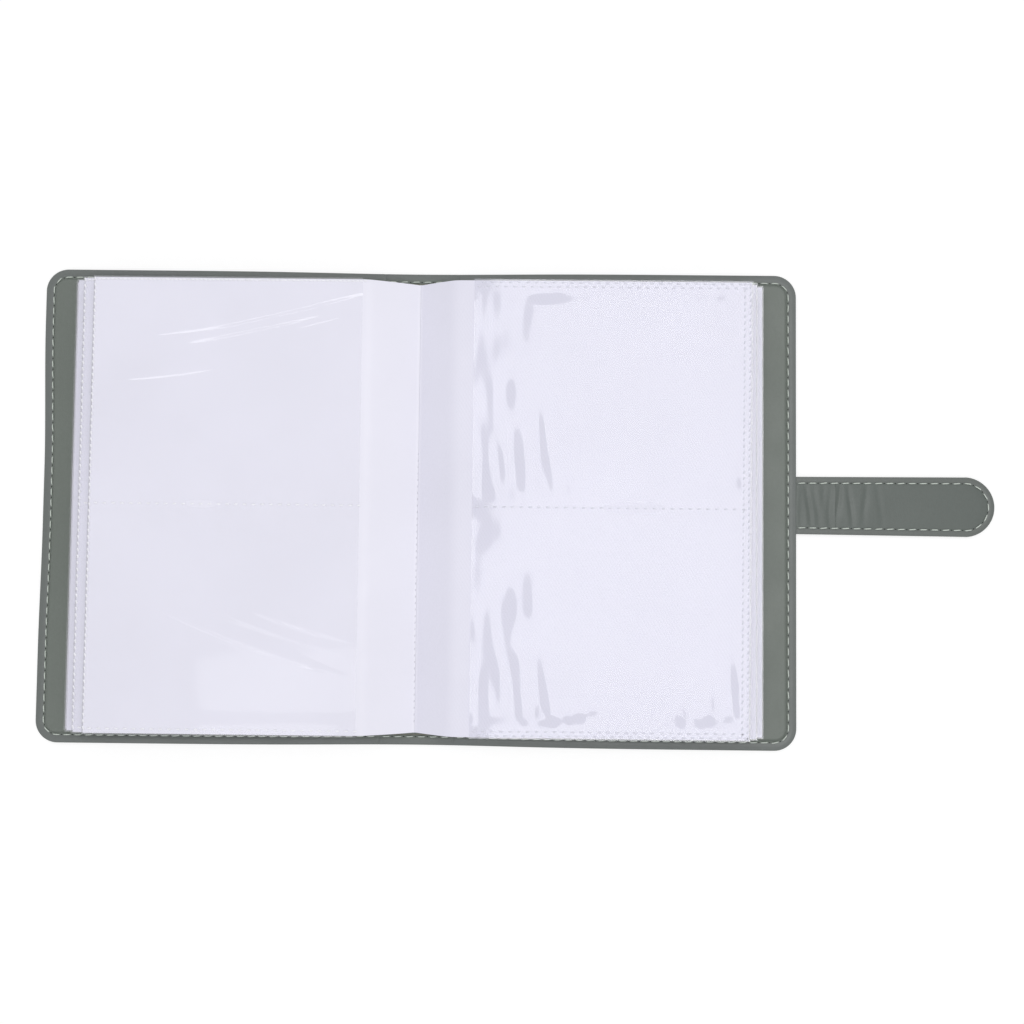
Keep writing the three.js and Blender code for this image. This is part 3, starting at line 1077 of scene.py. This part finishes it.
@dataclass
class Strap:
    """Closing strap: two sewn layers with a half-round tip, creased where it wraps the fore edge."""

    wardrobe: Wardrobe
    case: Case
    sewing: Sewing
    centre: float = 2.4
    root_width: float = 23.4
    tip_width: float = 24.4
    tip: float = 234.7
    start: float = 145
    split: float = 170
    first_fold: float = 154.45
    second_fold: float = 185.35
    stitch_inset: float = 2.6
    tuck: float = 0.35
    bend_half: float = 1.3
    skin: float = 0.8
    lining: float = 0.6
    seam_dip: float = 0.14
    rim_roll: float = 0.08
    padding: float = 0.12
    wave_height: float = 0.05
    under_seam_dip: float = 0.24
    under_crease: float = 0.25
    bed: float = 0.02
    under_level: float = 0.2
    insets: tuple[float, ...] = (
        *(0.35, 0.7, 1.1, 1.5, 1.85, 2.15, 2.4),
        *(2.6, 2.8, 3.05, 3.4, 3.8, 4.2, 4.8),
    )

    def half_width(self, x: Array) -> Array:
        """Half the width, which grows evenly from the fore edge to the tip."""
        share = (x - self.case.fore_edge) / (self.tip - self.case.fore_edge)
        return (self.root_width + (self.tip_width - self.root_width) * np.clip(share, 0, 1)) / 2

    def tucked(self, x: Array) -> Array:
        """How much thinner each face is where the strap lies under the cover's rim."""
        return self.tuck * (1 - smooth(self.case.fore_edge - 0.3, self.case.fore_edge + 0.3, x))

    def creases(self, x: Array, y: Array, inset: Array) -> Array:
        """Depth of the cross creases that years of wrapping leave, deepest next to the fore edge.

        Each is a bell across the strap that wanders with y, is deepest at its own height and fades
        out before the stitch line.

        Args:
            x: places along the strap.
            y: places across it, from its middle line.
            inset: distances from the edge.

        Returns:
            The depth at each place.
        """
        dice = np.random.default_rng(23)
        depth = np.zeros_like(x)
        least, most = [-0.9, -0.07, 0.25, -5, 6, 0.8], [0.9, 0.02, 0.5, 5, 12, 1.7]
        for place in np.concatenate([np.linspace(156, 171, 6), np.linspace(176, 188, 3)]):
            bow, lean, deep, middle, reach, width = dice.uniform(least, most)
            line = place + lean * y + bow * np.sin(y / 5 + 7 * lean)
            fade = 1 - smooth(160, 196, np.full_like(x, place)) * 0.7
            depth += deep * fade * bump(x, line, width) * bump(y, middle, reach)
        return depth * smooth(2.2, 4.5, inset)

    def top(self, x: Array, y: Array, inset: Array) -> Array:
        """Height of the inner face: seam drawn down, rim rolled, creased and softly waved.

        Args:
            x: places along the strap.
            y: places across it, from its middle line.
            inset: distances from the edge.

        Returns:
            The height at each place.
        """
        roll = self.rim_roll * bump(inset, 1.3, 0.6)
        seam = -self.seam_dip * bump(inset, self.stitch_inset, 0.4) + roll
        wave = self.wave_height * Ripples(31, 18, 50).height(x, y) * smooth(2.6, 6, inset)
        pad = self.padding * smooth(2.8, 6, inset)
        level = self.skin + self.lining + seam + pad + wave
        return level - self.creases(x, y, inset) - self.tucked(x)

    def under(self, x: Array, y: Array, inset: Array) -> Array:
        """Height of the outer face: flat on the table, drawn in along the seam."""
        seam = self.under_seam_dip * bump(inset, self.stitch_inset, 0.42)
        return seam + self.under_crease * self.creases(x, y, inset) + self.tucked(x)

    def seam_level(self, x: Array, y: Array, inset: Array) -> Array:
        """Height where skin and lining meet."""
        return np.full_like(x, self.skin)

    def stations(self, first: float, last: float | None) -> tuple[Array, Array, Array]:
        """Walks round a run of the strap, below, round the tip if it has one, and back above.

        Args:
            first: where the run starts.
            last: where it ends, or None where it runs to the tip.

        Returns:
            Points on the middle line, outward directions, and the half width at each.
        """
        radius = self.tip_width / 2
        end = self.tip - radius if last is None else last
        x = np.linspace(first, end, max(8, round((end - first) / 0.55)))
        turn = np.linspace(-math.pi / 2, math.pi / 2, 41)[1:-1] if last is None else np.array([])
        anchor_x = np.concatenate([x, np.full(len(turn), end), x[::-1]])
        out_x = np.concatenate([0 * x, np.cos(turn), 0 * x])
        out_y = np.concatenate([0 * x - 1, np.sin(turn), 0 * x + 1])
        wide = np.concatenate([self.half_width(x), np.full(len(turn), radius), self.half_width(x)[::-1]])
        return np.stack([anchor_x, 0 * anchor_x], -1), np.stack([out_x, out_y], -1), wide

    def ring(
        self, stations: tuple[Array, Array, Array], height: Height, inset: float, share: float = 0
    ) -> Array:
        """Points at one inset all round a run, then drawn in by a share towards the middle line.

        Args:
            stations: middle line, outward directions and half widths.
            height: height of the face as a function of x, y and inset.
            inset: distance from the edge.
            share: 0 at that inset, 1 on the middle line.

        Returns:
            An array of points.
        """
        anchor, out, wide = stations
        depth = inset + (wide - inset) * share
        xy = anchor + (wide - depth)[:, None] * out
        z = height(xy[:, 0], xy[:, 1], depth)
        return np.stack([xy[:, 0], xy[:, 1] + self.centre, z], -1)

    def run(
        self, name: str, first: float, last: float | None, top: Height, under: Height
    ) -> bpy.types.Object:
        """Closed layer over a run of the strap, built as rings that shrink to the middle line.

        Args:
            name: object's name.
            first: where the run starts.
            last: where it ends, or None where it runs to the tip.
            top: height of the upper face as a function of x, y and inset.
            under: height of the lower face.

        Returns:
            The new object, with the point attribute that masks the rim's painted reflection and shade.
        """
        stations = self.stations(first, last)
        faces = []
        for height in (under, top):
            outer = [self.ring(stations, height, d) for d in self.insets]
            inner = [self.ring(stations, height, self.insets[-1], s) for s in np.linspace(0, 1, 11)[1:]]
            faces.append(outer + inner)
        low, high = faces
        rings = np.stack(low[::-1] + rolled_rim(high[0], low[0], stations[1], self.insets[0]) + high)
        made = close_up(make_object(name, rings, grid_faces(*rings.shape[:2]).tolist()), 40)
        x, y = plan(made).T
        middle_x = np.minimum(x, self.tip - self.tip_width / 2)
        inset = self.half_width(middle_x) - np.hypot(x - middle_x, y - self.centre)
        store_rim(made, inset, self.stitch_inset)
        return made

    def stitch_path(self, first: float, last: float | None, sign: int = 0) -> Array:
        """Stitch line of a run.

        Args:
            first: where the run starts.
            last: where it ends, or None where it runs to the tip.
            sign: 1 for the upper side alone, -1 for the lower, 0 for the whole way round.

        Returns:
            Points of the line, two columns.
        """
        anchor, out, wide = self.stations(first, last)
        path = anchor + (wide - self.stitch_inset)[:, None] * out + [0, self.centre]
        if sign:
            path = path[np.sign(path[:, 1] - self.centre) == sign]
        return path[np.argsort(path[:, 0])] if sign else path

    def build(self) -> None:
        """Makes both layers of both runs and sews them."""
        bends = (
            ("root", self.start, self.split, "back_cover", "strap_wrap", self.first_fold, "1"),
            ("end", self.split, None, "strap_wrap", "strap_end", self.second_fold, "2"),
        )
        layers = (
            ("skin", "skin", self.seam_level, self.under),
            ("lining", "strap_lining", self.top, self.seam_level),
        )
        for word, first, last, before, after, fold, number in bends:
            start, end = fold - self.bend_half, fold + self.bend_half
            for layer, finish, top, under in layers:
                piece = self.run(f"strap_{layer}_{word}", first, last, top, under)
                self.wardrobe.dress(piece, layer, finish)
                self.wardrobe.bend(piece, before, after, start, end, f"strap_{layer}_{number}")
        above, below = self.skin + self.lining - self.bed, self.under_level
        for face, level, word in ((Face.UPPER, above, "inside"), (Face.LOWER, below, "outside")):
            nodes = ["thread_strap"] if face is Face.UPPER else []
            path = self.stitch_path(self.second_fold, None)
            self.sewing.sew(f"sewing_strap_tip_{word}", path, level, face, "strap_end", "thread", *nodes)
            for sign, edge in ((1, "upper"), (-1, "lower")):
                path = self.stitch_path(self.case.fore_edge, self.second_fold, sign)
                self.sewing.sew(f"sewing_strap_{edge}_{word}", path, level, face, "strap_wrap", "thread")


# Leaves


# Points along and up the films in plain sight, and of the others.
PLAIN_SIGHT_GRID = {Side.RIGHT: (170, 240), Side.LEFT: (100, 430)}
HIDDEN_GRID = (56, 80)

# How far loose leaves' fore edges stand out past the even stack, by side and number.
LOOSE = {
    (Side.RIGHT, 1): 1.0,
    (Side.RIGHT, 3): 1.7,
    (Side.RIGHT, 5): 1.5,
    (Side.LEFT, 2): 2.4,
    (Side.LEFT, 4): 2.0,
}


@dataclass
class Leaf:
    """A divider sheet in a clear sleeve with two pockets on each face, rooted at the gutter."""

    wardrobe: Wardrobe
    side: Side
    number: int
    per_side: int = 6
    pocket_depth: float = 109
    pocket_height: float = 87.6
    weld: float = 1.6
    sheet: float = 0.3
    film: float = 0.08
    room: float = 0.5
    inset: float = 0.6
    setback: float = 0.4
    left_setback: float = 2.2
    margin: float = 20.9
    top_slope: float = 15.5
    top_band: float = 7.2
    end_weld: float = 3.2
    step: float = 1.8
    root_rise: float = 0.4
    root_offset: float = 0.75
    root_pitch: float = 1.5
    left_last_root: float = 10.45
    root_trim: float = 0.4
    sheet_wave: float = 0.05
    lowest: float = 3.3
    bend_half: float = 3.2
    bend_reach: float = 3
    lip: float = 0.66
    slack: float = 0.2
    cling: float = 0.06
    relief: float = 0.42
    mouth_lift: float = 0.2
    pad: tuple[float, float, float] = (0.72, 0.32, 0.035)
    pad_sink: float = 0.06
    pad_taper: tuple[float, float, float] = (0.88, 0.8, 0)
    pad_lift: float = 0.18
    swell: float = 9
    skew: float = 0.006

    @property
    def overhang(self) -> float:
        """How far the fore edge stands out past the even stack: a few leaves lie a little loose."""
        return LOOSE.get((self.side, self.number), 0.0)

    def stretched(self, x: Array, y: Array) -> Array:
        """Place x drawn out by its share of the overhang; the top right leaf's edge also slants."""
        share = np.clip((x - self.mouth_x) / (self.pocket_depth + self.weld), 0, 1)
        return x + share * (self.overhang + self.top * self.skew * y)

    @property
    def name(self) -> str:
        """First part of the leaf's names."""
        return f"leaf_{self.side.letter}{self.number}"

    @property
    def top(self) -> bool:
        """Whether this is the top right leaf, with a flat strip beside its pockets."""
        return self.side is Side.RIGHT and self.number == 1

    @property
    def fine(self) -> bool:
        """Whether the leaf is in plain sight when the album lies open."""
        return self.number == 1

    @property
    def above(self) -> int:
        """How many leaves lie under this one."""
        return self.per_side - self.number

    @property
    def flat(self) -> bool:
        """Whether this is the outermost leaf, which lies flat from its root."""
        return self.above == 0

    @property
    def root_x(self) -> float:
        """Distance of the root line from the gutter."""
        left_pitch = (self.left_last_root - self.root_offset) / (self.per_side - 1)
        pitch = self.root_pitch if self.side is Side.RIGHT else left_pitch
        return self.root_offset + (self.number - 1) * pitch

    @property
    def slope(self) -> float:
        """Length of the sloping part of the margin."""
        return self.top_slope if self.top else self.margin

    @property
    def rise(self) -> float:
        """Angle at which the margin rises."""
        return math.asin(self.above * (self.step - self.root_rise) / self.slope)

    @property
    def panel_z(self) -> float:
        """Height of the sheet's mid plane where the pockets are."""
        return self.lowest + self.above * self.step

    @property
    def score_x(self) -> float:
        """Distance of the score line from the gutter."""
        return self.root_x + self.slope * math.cos(self.rise)

    @property
    def mouth_x(self) -> float:
        """Distance of the sleeve's open edge from the gutter, before the setback."""
        return self.score_x + (self.top_band if self.top else 0)

    @property
    def half_height(self) -> float:
        """Half the sleeve's height."""
        return self.pocket_height + self.weld / 2 + self.end_weld

    def sheet_line(self, s: Array) -> tuple[Array, Array, Array]:
        """The sheet's middle line at lengths s from the root.

        The slope angle is the rise before the score line and falls smoothly to zero across it; x
        and z are the running sums of its cosine and sine.

        Args:
            s: lengths along the sheet, rising from 0.

        Returns:
            x, z and the slope angle at each.
        """
        fine = np.linspace(0, s[-1], 1600)
        angle = self.rise * (1 - smooth(self.slope - self.bend_half, self.slope + self.bend_half, fine))
        steps, mean = np.diff(fine), (angle[1:] + angle[:-1]) / 2
        x = self.root_x + np.concatenate([[0], np.cumsum(np.cos(mean) * steps)])
        root_z = self.lowest + self.above * self.root_rise
        z = root_z + np.concatenate([[0], np.cumsum(np.sin(mean) * steps)])
        ahead = np.maximum(s, 0)
        lip = np.minimum(s, 0)
        return np.interp(ahead, fine, x) + lip, np.interp(ahead, fine, z), np.interp(ahead, fine, angle)

    def sheet_piece(self, length: float) -> bpy.types.Object:
        """The divider sheet, cut back a little towards the gutter.

        Args:
            length: its length from the root line.

        Returns:
            The new object. A top leaf also has a short flat lip that meets the other side's.
        """
        lip = [-self.lip, -self.lip / 2] if self.fine else []
        s = np.concatenate([lip, np.arange(0, 28, 0.6), np.linspace(28, length, 40)])
        x, z, angle = self.sheet_line(s)
        row = np.linspace(-1, 1, 61)
        reach = self.half_height - self.inset - self.root_trim * np.exp(-np.maximum(s, 0) / 9)
        y = reach[:, None] * row
        wide_x = x[:, None] + 0 * y
        ripples = Ripples(70 + self.number, 30, 90).height(wide_x, y)
        wave = self.sheet_wave * ripples * smooth(4, 30, s)[:, None]
        middle = np.stack([self.stretched(wide_x, y), y, z[:, None] + wave], -1)
        out = np.stack([-np.sin(angle), 0 * angle, np.cos(angle)], -1)[:, None, :] * self.sheet / 2
        made = slab(f"{self.name}_divider", middle + out, middle - out, self.side is Side.LEFT, 50)
        upper = "smooth_sheet" if self.side is Side.LEFT and self.fine else "embossed_sheet"
        return self.wardrobe.dress(made, "sheet", upper, "smooth_sheet")

    def build_sheet(self) -> None:
        """Makes the divider sheet, bent at the score line unless it lies flat from its root."""
        whole = self.slope + (self.top_band if self.top else 0) + self.pocket_depth + self.weld - self.inset
        piece = self.sheet_piece(whole)
        if self.flat:
            self.wardrobe.seat(piece, self.name, f"{self.name}_sheet")
            return
        nodes = [f"{self.name}_margin", f"{self.name}_sheet"] + ([f"{self.name}_band"] if self.top else [])
        start, end = (self.side.value * (self.score_x + gap) for gap in (-self.bend_reach, self.bend_reach))
        self.wardrobe.bend(piece, f"{self.name}_margin", self.panel_body, start, end, *nodes)

    def lift(self, x: Array, y: Array) -> Array:
        """How far the film stands off the sheet, from 0 at the welds to 1.

        It is the product of smooth steps away from the outer weld and from the top, middle and
        bottom welds; the mouth stays open.

        Args:
            x: distances from the mouth.
            y: places up the leaf.

        Returns:
            The share at each place.
        """
        away = smooth(0, self.swell, self.pocket_depth - x)
        rows = np.abs(np.abs(y) - (self.pocket_height + self.weld) / 2)
        return away * (1 - smooth(self.pocket_height / 2 - self.swell, self.pocket_height / 2, rows))

    def wrinkles(self, x: Array, y: Array, face: Face) -> Array:
        """Relief of the film.

        The right page has broad pillows with puckers that stand on the welds and run up from them;
        the left page has long slanting drag lines; hidden films only sag gently.

        Args:
            x: distances from the mouth.
            y: places up the leaf.
            face: face of the leaf that the film lies on.

        Returns:
            A height from about -1 to 1 at each place.
        """
        broad = Ripples(40 + 3 * self.number + self.side.value, 30, 75).height(x, y)
        if self.number > 2 or face is Face.LOWER:
            return 0.6 * broad
        if self.side is Side.RIGHT:
            low = np.where(y < 0, y + self.half_height, y)
            across = Ripples(12 + self.number, 5, 12, 0, 12, 12).height(x, low)
            tall = 18 + 8 * np.sin(x / 11)
            stand = np.exp(-low / tall) * smooth(0, 4, low) * (1 - 0.6 * smooth(40, 90, x) * (y > 0))
            side = np.exp(-(self.pocket_depth - x) / 9) * Ripples(19, 5, 11, 90, 14).height(x, y)
            pillow = Ripples(57, 14, 36).height(x, y) * (1 - 0.55 * smooth(45, 95, x))
            hang = np.exp(-(self.half_height - y) / 9) * Ripples(77, 5, 11, 0, 12).height(x, y)
            return 0.4 * broad + 0.85 * pillow + 1.6 * across * stand + 0.35 * side + 0.6 * hang
        return 0.35 * broad + self.drag_lines(x, y)

    def drag_lines(self, x: Array, y: Array) -> Array:
        """Long thin creases of the left page's film, one slanting family in each pocket.

        Each is a bell across its line y = start + slope x, faded at both ends by a bell along x.

        Args:
            x: distances from the mouth.
            y: places up the leaf.

        Returns:
            The height at each place.
        """
        dice = np.random.default_rng(83)
        relief = np.zeros_like(x)
        least, most = [8, -0.15, 12, 0.5, 0.8], [100, 1, 32, 1.15, 1.5]
        for start, slope, count, spread in ((-82, 0.196, 14, 20), (72, -0.36, 10, -22)):
            for _ in range(count):
                centre, share, reach, deep, wide = dice.uniform(least, most)
                line = start + slope * x + spread * share**2 * np.sign(share) - 0.0012 * (x - 50) ** 2
                relief += deep * bump(y, line, wide) * bump(x, centre, reach)
        return relief

    def film_piece(self, face: Face) -> bpy.types.Object:
        """One face of the sleeve: a thin closed film over both pockets, pressed down at the welds.

        Args:
            face: face of the leaf that the film lies on.

        Returns:
            The new object.
        """
        fine = self.fine and face is Face.UPPER
        width = self.pocket_depth + self.weld
        start = self.setback if self.side is Side.RIGHT else self.left_setback
        columns, rows = PLAIN_SIGHT_GRID[self.side] if fine else HIDDEN_GRID
        x = np.linspace(start, width, columns)
        y = np.linspace(-self.half_height, self.half_height, rows)
        x, y = np.meshgrid(x, y, indexing="ij")
        open_share = self.lift(x, y)
        mouth = np.exp(-(x - start) / 4)
        room = self.room - 2 * self.cling + (self.slack if fine else 0)
        relief = self.relief + self.relief * self.wrinkles(x, y, face) + self.mouth_lift * mouth
        stand = self.cling + open_share * room * np.clip(relief, 0.04, 0.96)
        z = self.panel_z + face.value * (self.sheet / 2 + stand)
        points = np.stack([self.stretched(x + self.mouth_x, y), y, z], -1)
        skin = np.array([0, 0, self.film * face.value])
        top, low = points + skin, points
        if face is Face.LOWER:
            top, low = low, top
        made = slab(f"{self.name}_film_{face.name.lower()}", top, low, self.side is Side.LEFT, 60)
        finish = "film" if self.side is Side.RIGHT else "soft_film"
        pair = (finish, "inner_film") if face is Face.UPPER else ("inner_film", finish)
        return self.wardrobe.dress(made, "sleeve", *pair)

    def weld_rows(self) -> list[tuple[Array, Array, float]]:
        """Places of the weld's pressed marks, in rows.

        Returns:
            For each row x from the mouth, y, and the heading of the marks in radians.
        """
        across = np.arange(2.4, self.pocket_depth, 3.5)
        half = self.half_height
        up = np.arange(1.2 - half, half - 0.8, 2.6)
        seam = self.pocket_height + self.weld / 2
        rows = [(across, 0 * across, 0.0)]
        if self.side is Side.LEFT:
            close = np.arange(1.2, self.pocket_depth, 1.7)
            rows += [(close, 1.3 - half + 0 * close, 0.0), (across, seam + 0.8 + 0 * across, 0.0)]
            rows += [(self.pocket_depth + 0.9 + 0 * up, up, 1.9)]
            return rows
        for sign in (1, -1):
            for shift, out in ((0, 0.2), (1.7, 1.9)):
                rows.append((across + shift, sign * (seam + out) + 0 * across, 0.0))
        for place, shift in ((0.6, 0), (-1.6, 1.3)):
            rows.append((self.pocket_depth + place + 0 * up, up + shift, 1.2))
        return rows

    def build_welds(self) -> None:
        """Presses the weld marks into the upper film: low pads of half length a, half width b, height c."""
        rows = self.weld_rows()
        x = np.concatenate([r[0] for r in rows])
        y = np.concatenate([r[1] for r in rows])
        heading = np.concatenate([0 * r[0] + r[2] for r in rows])
        keep = x < self.pocket_depth + self.weld - 0.3
        x, y, heading = x[keep], y[keep], heading[keep]
        way = self.side.value
        film_top = self.panel_z + self.sheet / 2 + self.cling + self.film
        level = film_top + self.lift(x, y) * self.pad_lift
        places = np.stack([way * self.stretched(x + self.mouth_x, y), way * y, level], -1)
        along = np.stack([np.cos(heading), np.sin(heading), 0 * heading], -1)
        up = np.tile([0.0, 0.0, 1.0], (len(x), 1))
        a, b, c = self.pad
        low = np.array([[-a, -b, 1], [a, -b, 1], [a, b, 1], [-a, b, 1]]) * [1, 1, -self.pad_sink]
        high = low * self.pad_taper + [0, 0, c]
        walls = [[0, 1, 5, 4], [1, 2, 6, 5], [2, 3, 7, 6], [3, 0, 4, 7]]
        faces = np.array([[3, 2, 1, 0], [4, 5, 6, 7], *walls])
        made = copies(f"{self.name}_welds", np.concatenate([low, high]), faces, places, along, up)
        # Painted light and shade: the left page's pads take the lighter copy of the weld film, the right
        # page's pads take the darker copy.
        finish = "weld" if self.side is Side.LEFT else "dull_weld"
        self.wardrobe.seat(self.wardrobe.dress(made, "sleeve", finish), self.panel_body)

    @property
    def panel_body(self) -> str:
        """Body that carries the sleeve."""
        return self.name if self.flat else f"{self.name}_panel"

    def build(self) -> None:
        """Makes the sheet, both films and, for the two top leaves of each side, the weld marks."""
        self.build_sheet()
        for face in Face:
            nodes = [f"{self.name}_sleeve"] if face is Face.UPPER else []
            self.wardrobe.seat(self.film_piece(face), self.panel_body, *nodes)
        if self.number <= 2:
            self.build_welds()


@dataclass
class Gutter:
    """Row of glue dots where the two top leaves meet over the binding."""

    wardrobe: Wardrobe
    low: float = -86
    high: float = 24
    pitch: float = 2.62
    level: float = 5.42
    length: float = 0.62
    width: float = 0.2
    height: float = 0.07
    place: float = -0.25
    wander: float = 0.2

    def build(self) -> None:
        """Makes the row as low six-sided pads that overlap the leaves' lips."""
        y = np.arange(self.low, self.high, self.pitch)
        turn = np.linspace(0, 2 * math.pi, 7)[:-1]
        rings = [(1.0, -self.height), (1.0, 0.0), (0.6, self.height), (0.05, self.height)]
        a, b = self.length * np.cos(turn), self.width * np.sin(turn)
        shape = np.concatenate([np.stack([r * a, r * b, z + 0 * turn], -1) for r, z in rings])
        places = np.stack([self.place + self.wander * np.sin(y / 30), y, self.level + 0 * y], -1)
        along, up = np.tile([0.12, 0.99, 0.0], (len(y), 1)), np.tile([0.0, 0.0, 1.0], (len(y), 1))
        made = copies("gutter_glue_dots", shape, grid_faces(4, 6, wrap=True), places, along, up)
        self.wardrobe.seat(self.wardrobe.dress(made, "binding", "glue"), "spine")


@dataclass
class Core:
    """Hidden and rigid parts that stay as they are in the solid model, with their finishes."""

    wardrobe: Wardrobe
    finishes: tuple[tuple[str, str], ...] = (
        ("board_front", "board"),
        ("board_back", "board"),
        ("board_spine", "board"),
        ("magnet_front", "magnet"),
        ("magnet_strap", "magnet"),
        ("binding_ridge", "binding"),
    )

    def build(self) -> None:
        """Gives each kept node its material."""
        for node, finish in self.finishes:
            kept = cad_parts[node]
            kept.data.materials.clear()
            kept.data.materials.append(self.wardrobe.materials[finish])
            LOG.info("%s keeps its solid, finished as %s", node, finish)


# Studio


@dataclass
class Studio:
    """Pale floor, soft lamps and the camera of the photograph.

    The camera and the lamps have their places in metres, the floor has its in millimetres.
    """

    camera_place: Place = (0.0406, -0.0192, 0.420)
    camera_turn: Place = (2.424, 0.317, 0.610)
    lens: float = 36.07
    sensor: float = 36
    floor_half: float = 4000
    floor_level: float = -0.3
    floor_grey: float = 0.8
    shadow_grey: float = 0.42
    floor_glow: float = 0.62
    sky: float = 0.64
    lamp_height: float = 1.1

    def camera(self) -> None:
        """Makes the camera and the scene's view settings."""
        data = bpy.data.cameras.new("photo_camera")
        data.lens, data.sensor_width = self.lens, self.sensor
        data.clip_start, data.clip_end = 0.01, 20
        made = bpy.data.objects.new("photo_camera", data)
        made.location = self.camera_place
        made.rotation_euler = Euler([math.radians(v) for v in self.camera_turn])
        bpy.context.scene.collection.objects.link(made)
        bpy.context.scene.camera = made
        bpy.context.scene.view_settings.view_transform = "Standard"

    def floor(self) -> None:
        """Makes the floor: diffuse for the light, and mostly its own white where it is seen."""
        far, level = self.floor_half, self.floor_level
        corners = np.array([[x, y, level] for x, y in ((-far, -far), (far, -far), (far, far), (-far, far))])
        made = make_object("studio_floor", corners, [[0, 1, 2, 3]])
        s = Shader("studio_floor")
        tree = s.tree
        plain = s.node("BsdfDiffuse", {"Color": (*[self.floor_grey] * 3, 1)})
        shadowed = s.node("BsdfDiffuse", {"Color": (*[self.shadow_grey] * 3, 1)})
        glow = s.node("Emission", {"Color": (1, 1, 1, 1), "Strength": self.floor_glow})
        seen = s.node("AddShader", {0: shadowed.outputs[0], 1: glow.outputs[0]})
        path = s.node("LightPath")
        mirrored = s.math("MAXIMUM", path.outputs["Is Glossy Ray"], path.outputs["Is Transmission Ray"])
        look = s.math("MAXIMUM", path.outputs["Is Camera Ray"], mirrored)
        mix = s.node("MixShader", {0: look, 1: plain.outputs[0], 2: seen.outputs[0]})
        tree.links.new(mix.outputs[0], tree.nodes["Material Output"].inputs[0])
        made.data.materials.append(s.material)

    def world(self) -> None:
        """Makes the world: soft light, and white where the camera sees it, straight or through film."""
        world = bpy.data.worlds.new("studio")
        bpy.context.scene.world = world
        world.use_nodes = True
        nodes, links = world.node_tree.nodes, world.node_tree.links
        ground = nodes["Background"]
        path = nodes.new("ShaderNodeLightPath")
        seen = nodes.new("ShaderNodeMath")
        seen.operation = "MAXIMUM"
        links.new(path.outputs["Is Camera Ray"], seen.inputs[0])
        links.new(path.outputs["Is Transmission Ray"], seen.inputs[1])
        level = nodes.new("ShaderNodeMapRange")
        links.new(seen.outputs[0], level.inputs[0])
        level.inputs[3].default_value, level.inputs[4].default_value = self.sky, 1.0
        ground.inputs[0].default_value = (1, 1, 1, 1)
        links.new(level.outputs[0], ground.inputs[1])

    def lamp(self, name: str, x: float, y: float, size: tuple[float, float], power: float) -> None:
        """Hangs a soft rectangular lamp that faces straight down.

        Args:
            name: lamp's name.
            x: where it hangs, in metres.
            y: where it hangs, in metres.
            size: its two sides.
            power: its power in watts.
        """
        data = bpy.data.lights.new(name, "AREA")
        data.shape, data.size, data.size_y, data.energy = "RECTANGLE", *size, power
        made = bpy.data.objects.new(name, data)
        made.location = (x, y, self.lamp_height)
        made.rotation_euler = Vector((0, 0, -1)).to_track_quat("-Z", "Y").to_euler()
        bpy.context.scene.collection.objects.link(made)

    def build(self) -> None:
        """Sets up camera, floor, world and lamps; the films mirror the lamps in soft patches."""
        self.camera()
        self.floor()
        self.world()
        self.lamp("key_lamp", 0.25, 0.055, (0.5, 0.85), 3.7)
        self.lamp("upper_lamp", -0.38, 0.60, (0.5, 0.14), 1.0)
        self.lamp("lower_lamp", -0.38, -0.48, (0.5, 0.14), 1.0)
        self.lamp("patch_lamp", -0.32, -0.24, (0.2, 0.16), 0.15)


def main() -> None:
    """Builds the album piece by piece and sets up the studio."""
    logging.basicConfig(level=logging.INFO, format="%(name)s: %(message)s")
    Studio().build()
    wardrobe = Wardrobe()
    case = Case(wardrobe)
    case.build()
    CaseSewing(case, Sewing(wardrobe)).build()
    Strap(wardrobe, case, Sewing(wardrobe, pitch=4.5, seed=9)).build()
    for side in Side:
        for number in range(1, Leaf.per_side + 1):
            Leaf(wardrobe, side, number).build()
    Gutter(wardrobe).build()
    Core(wardrobe).build()


if __name__ == "__main__":
    main()
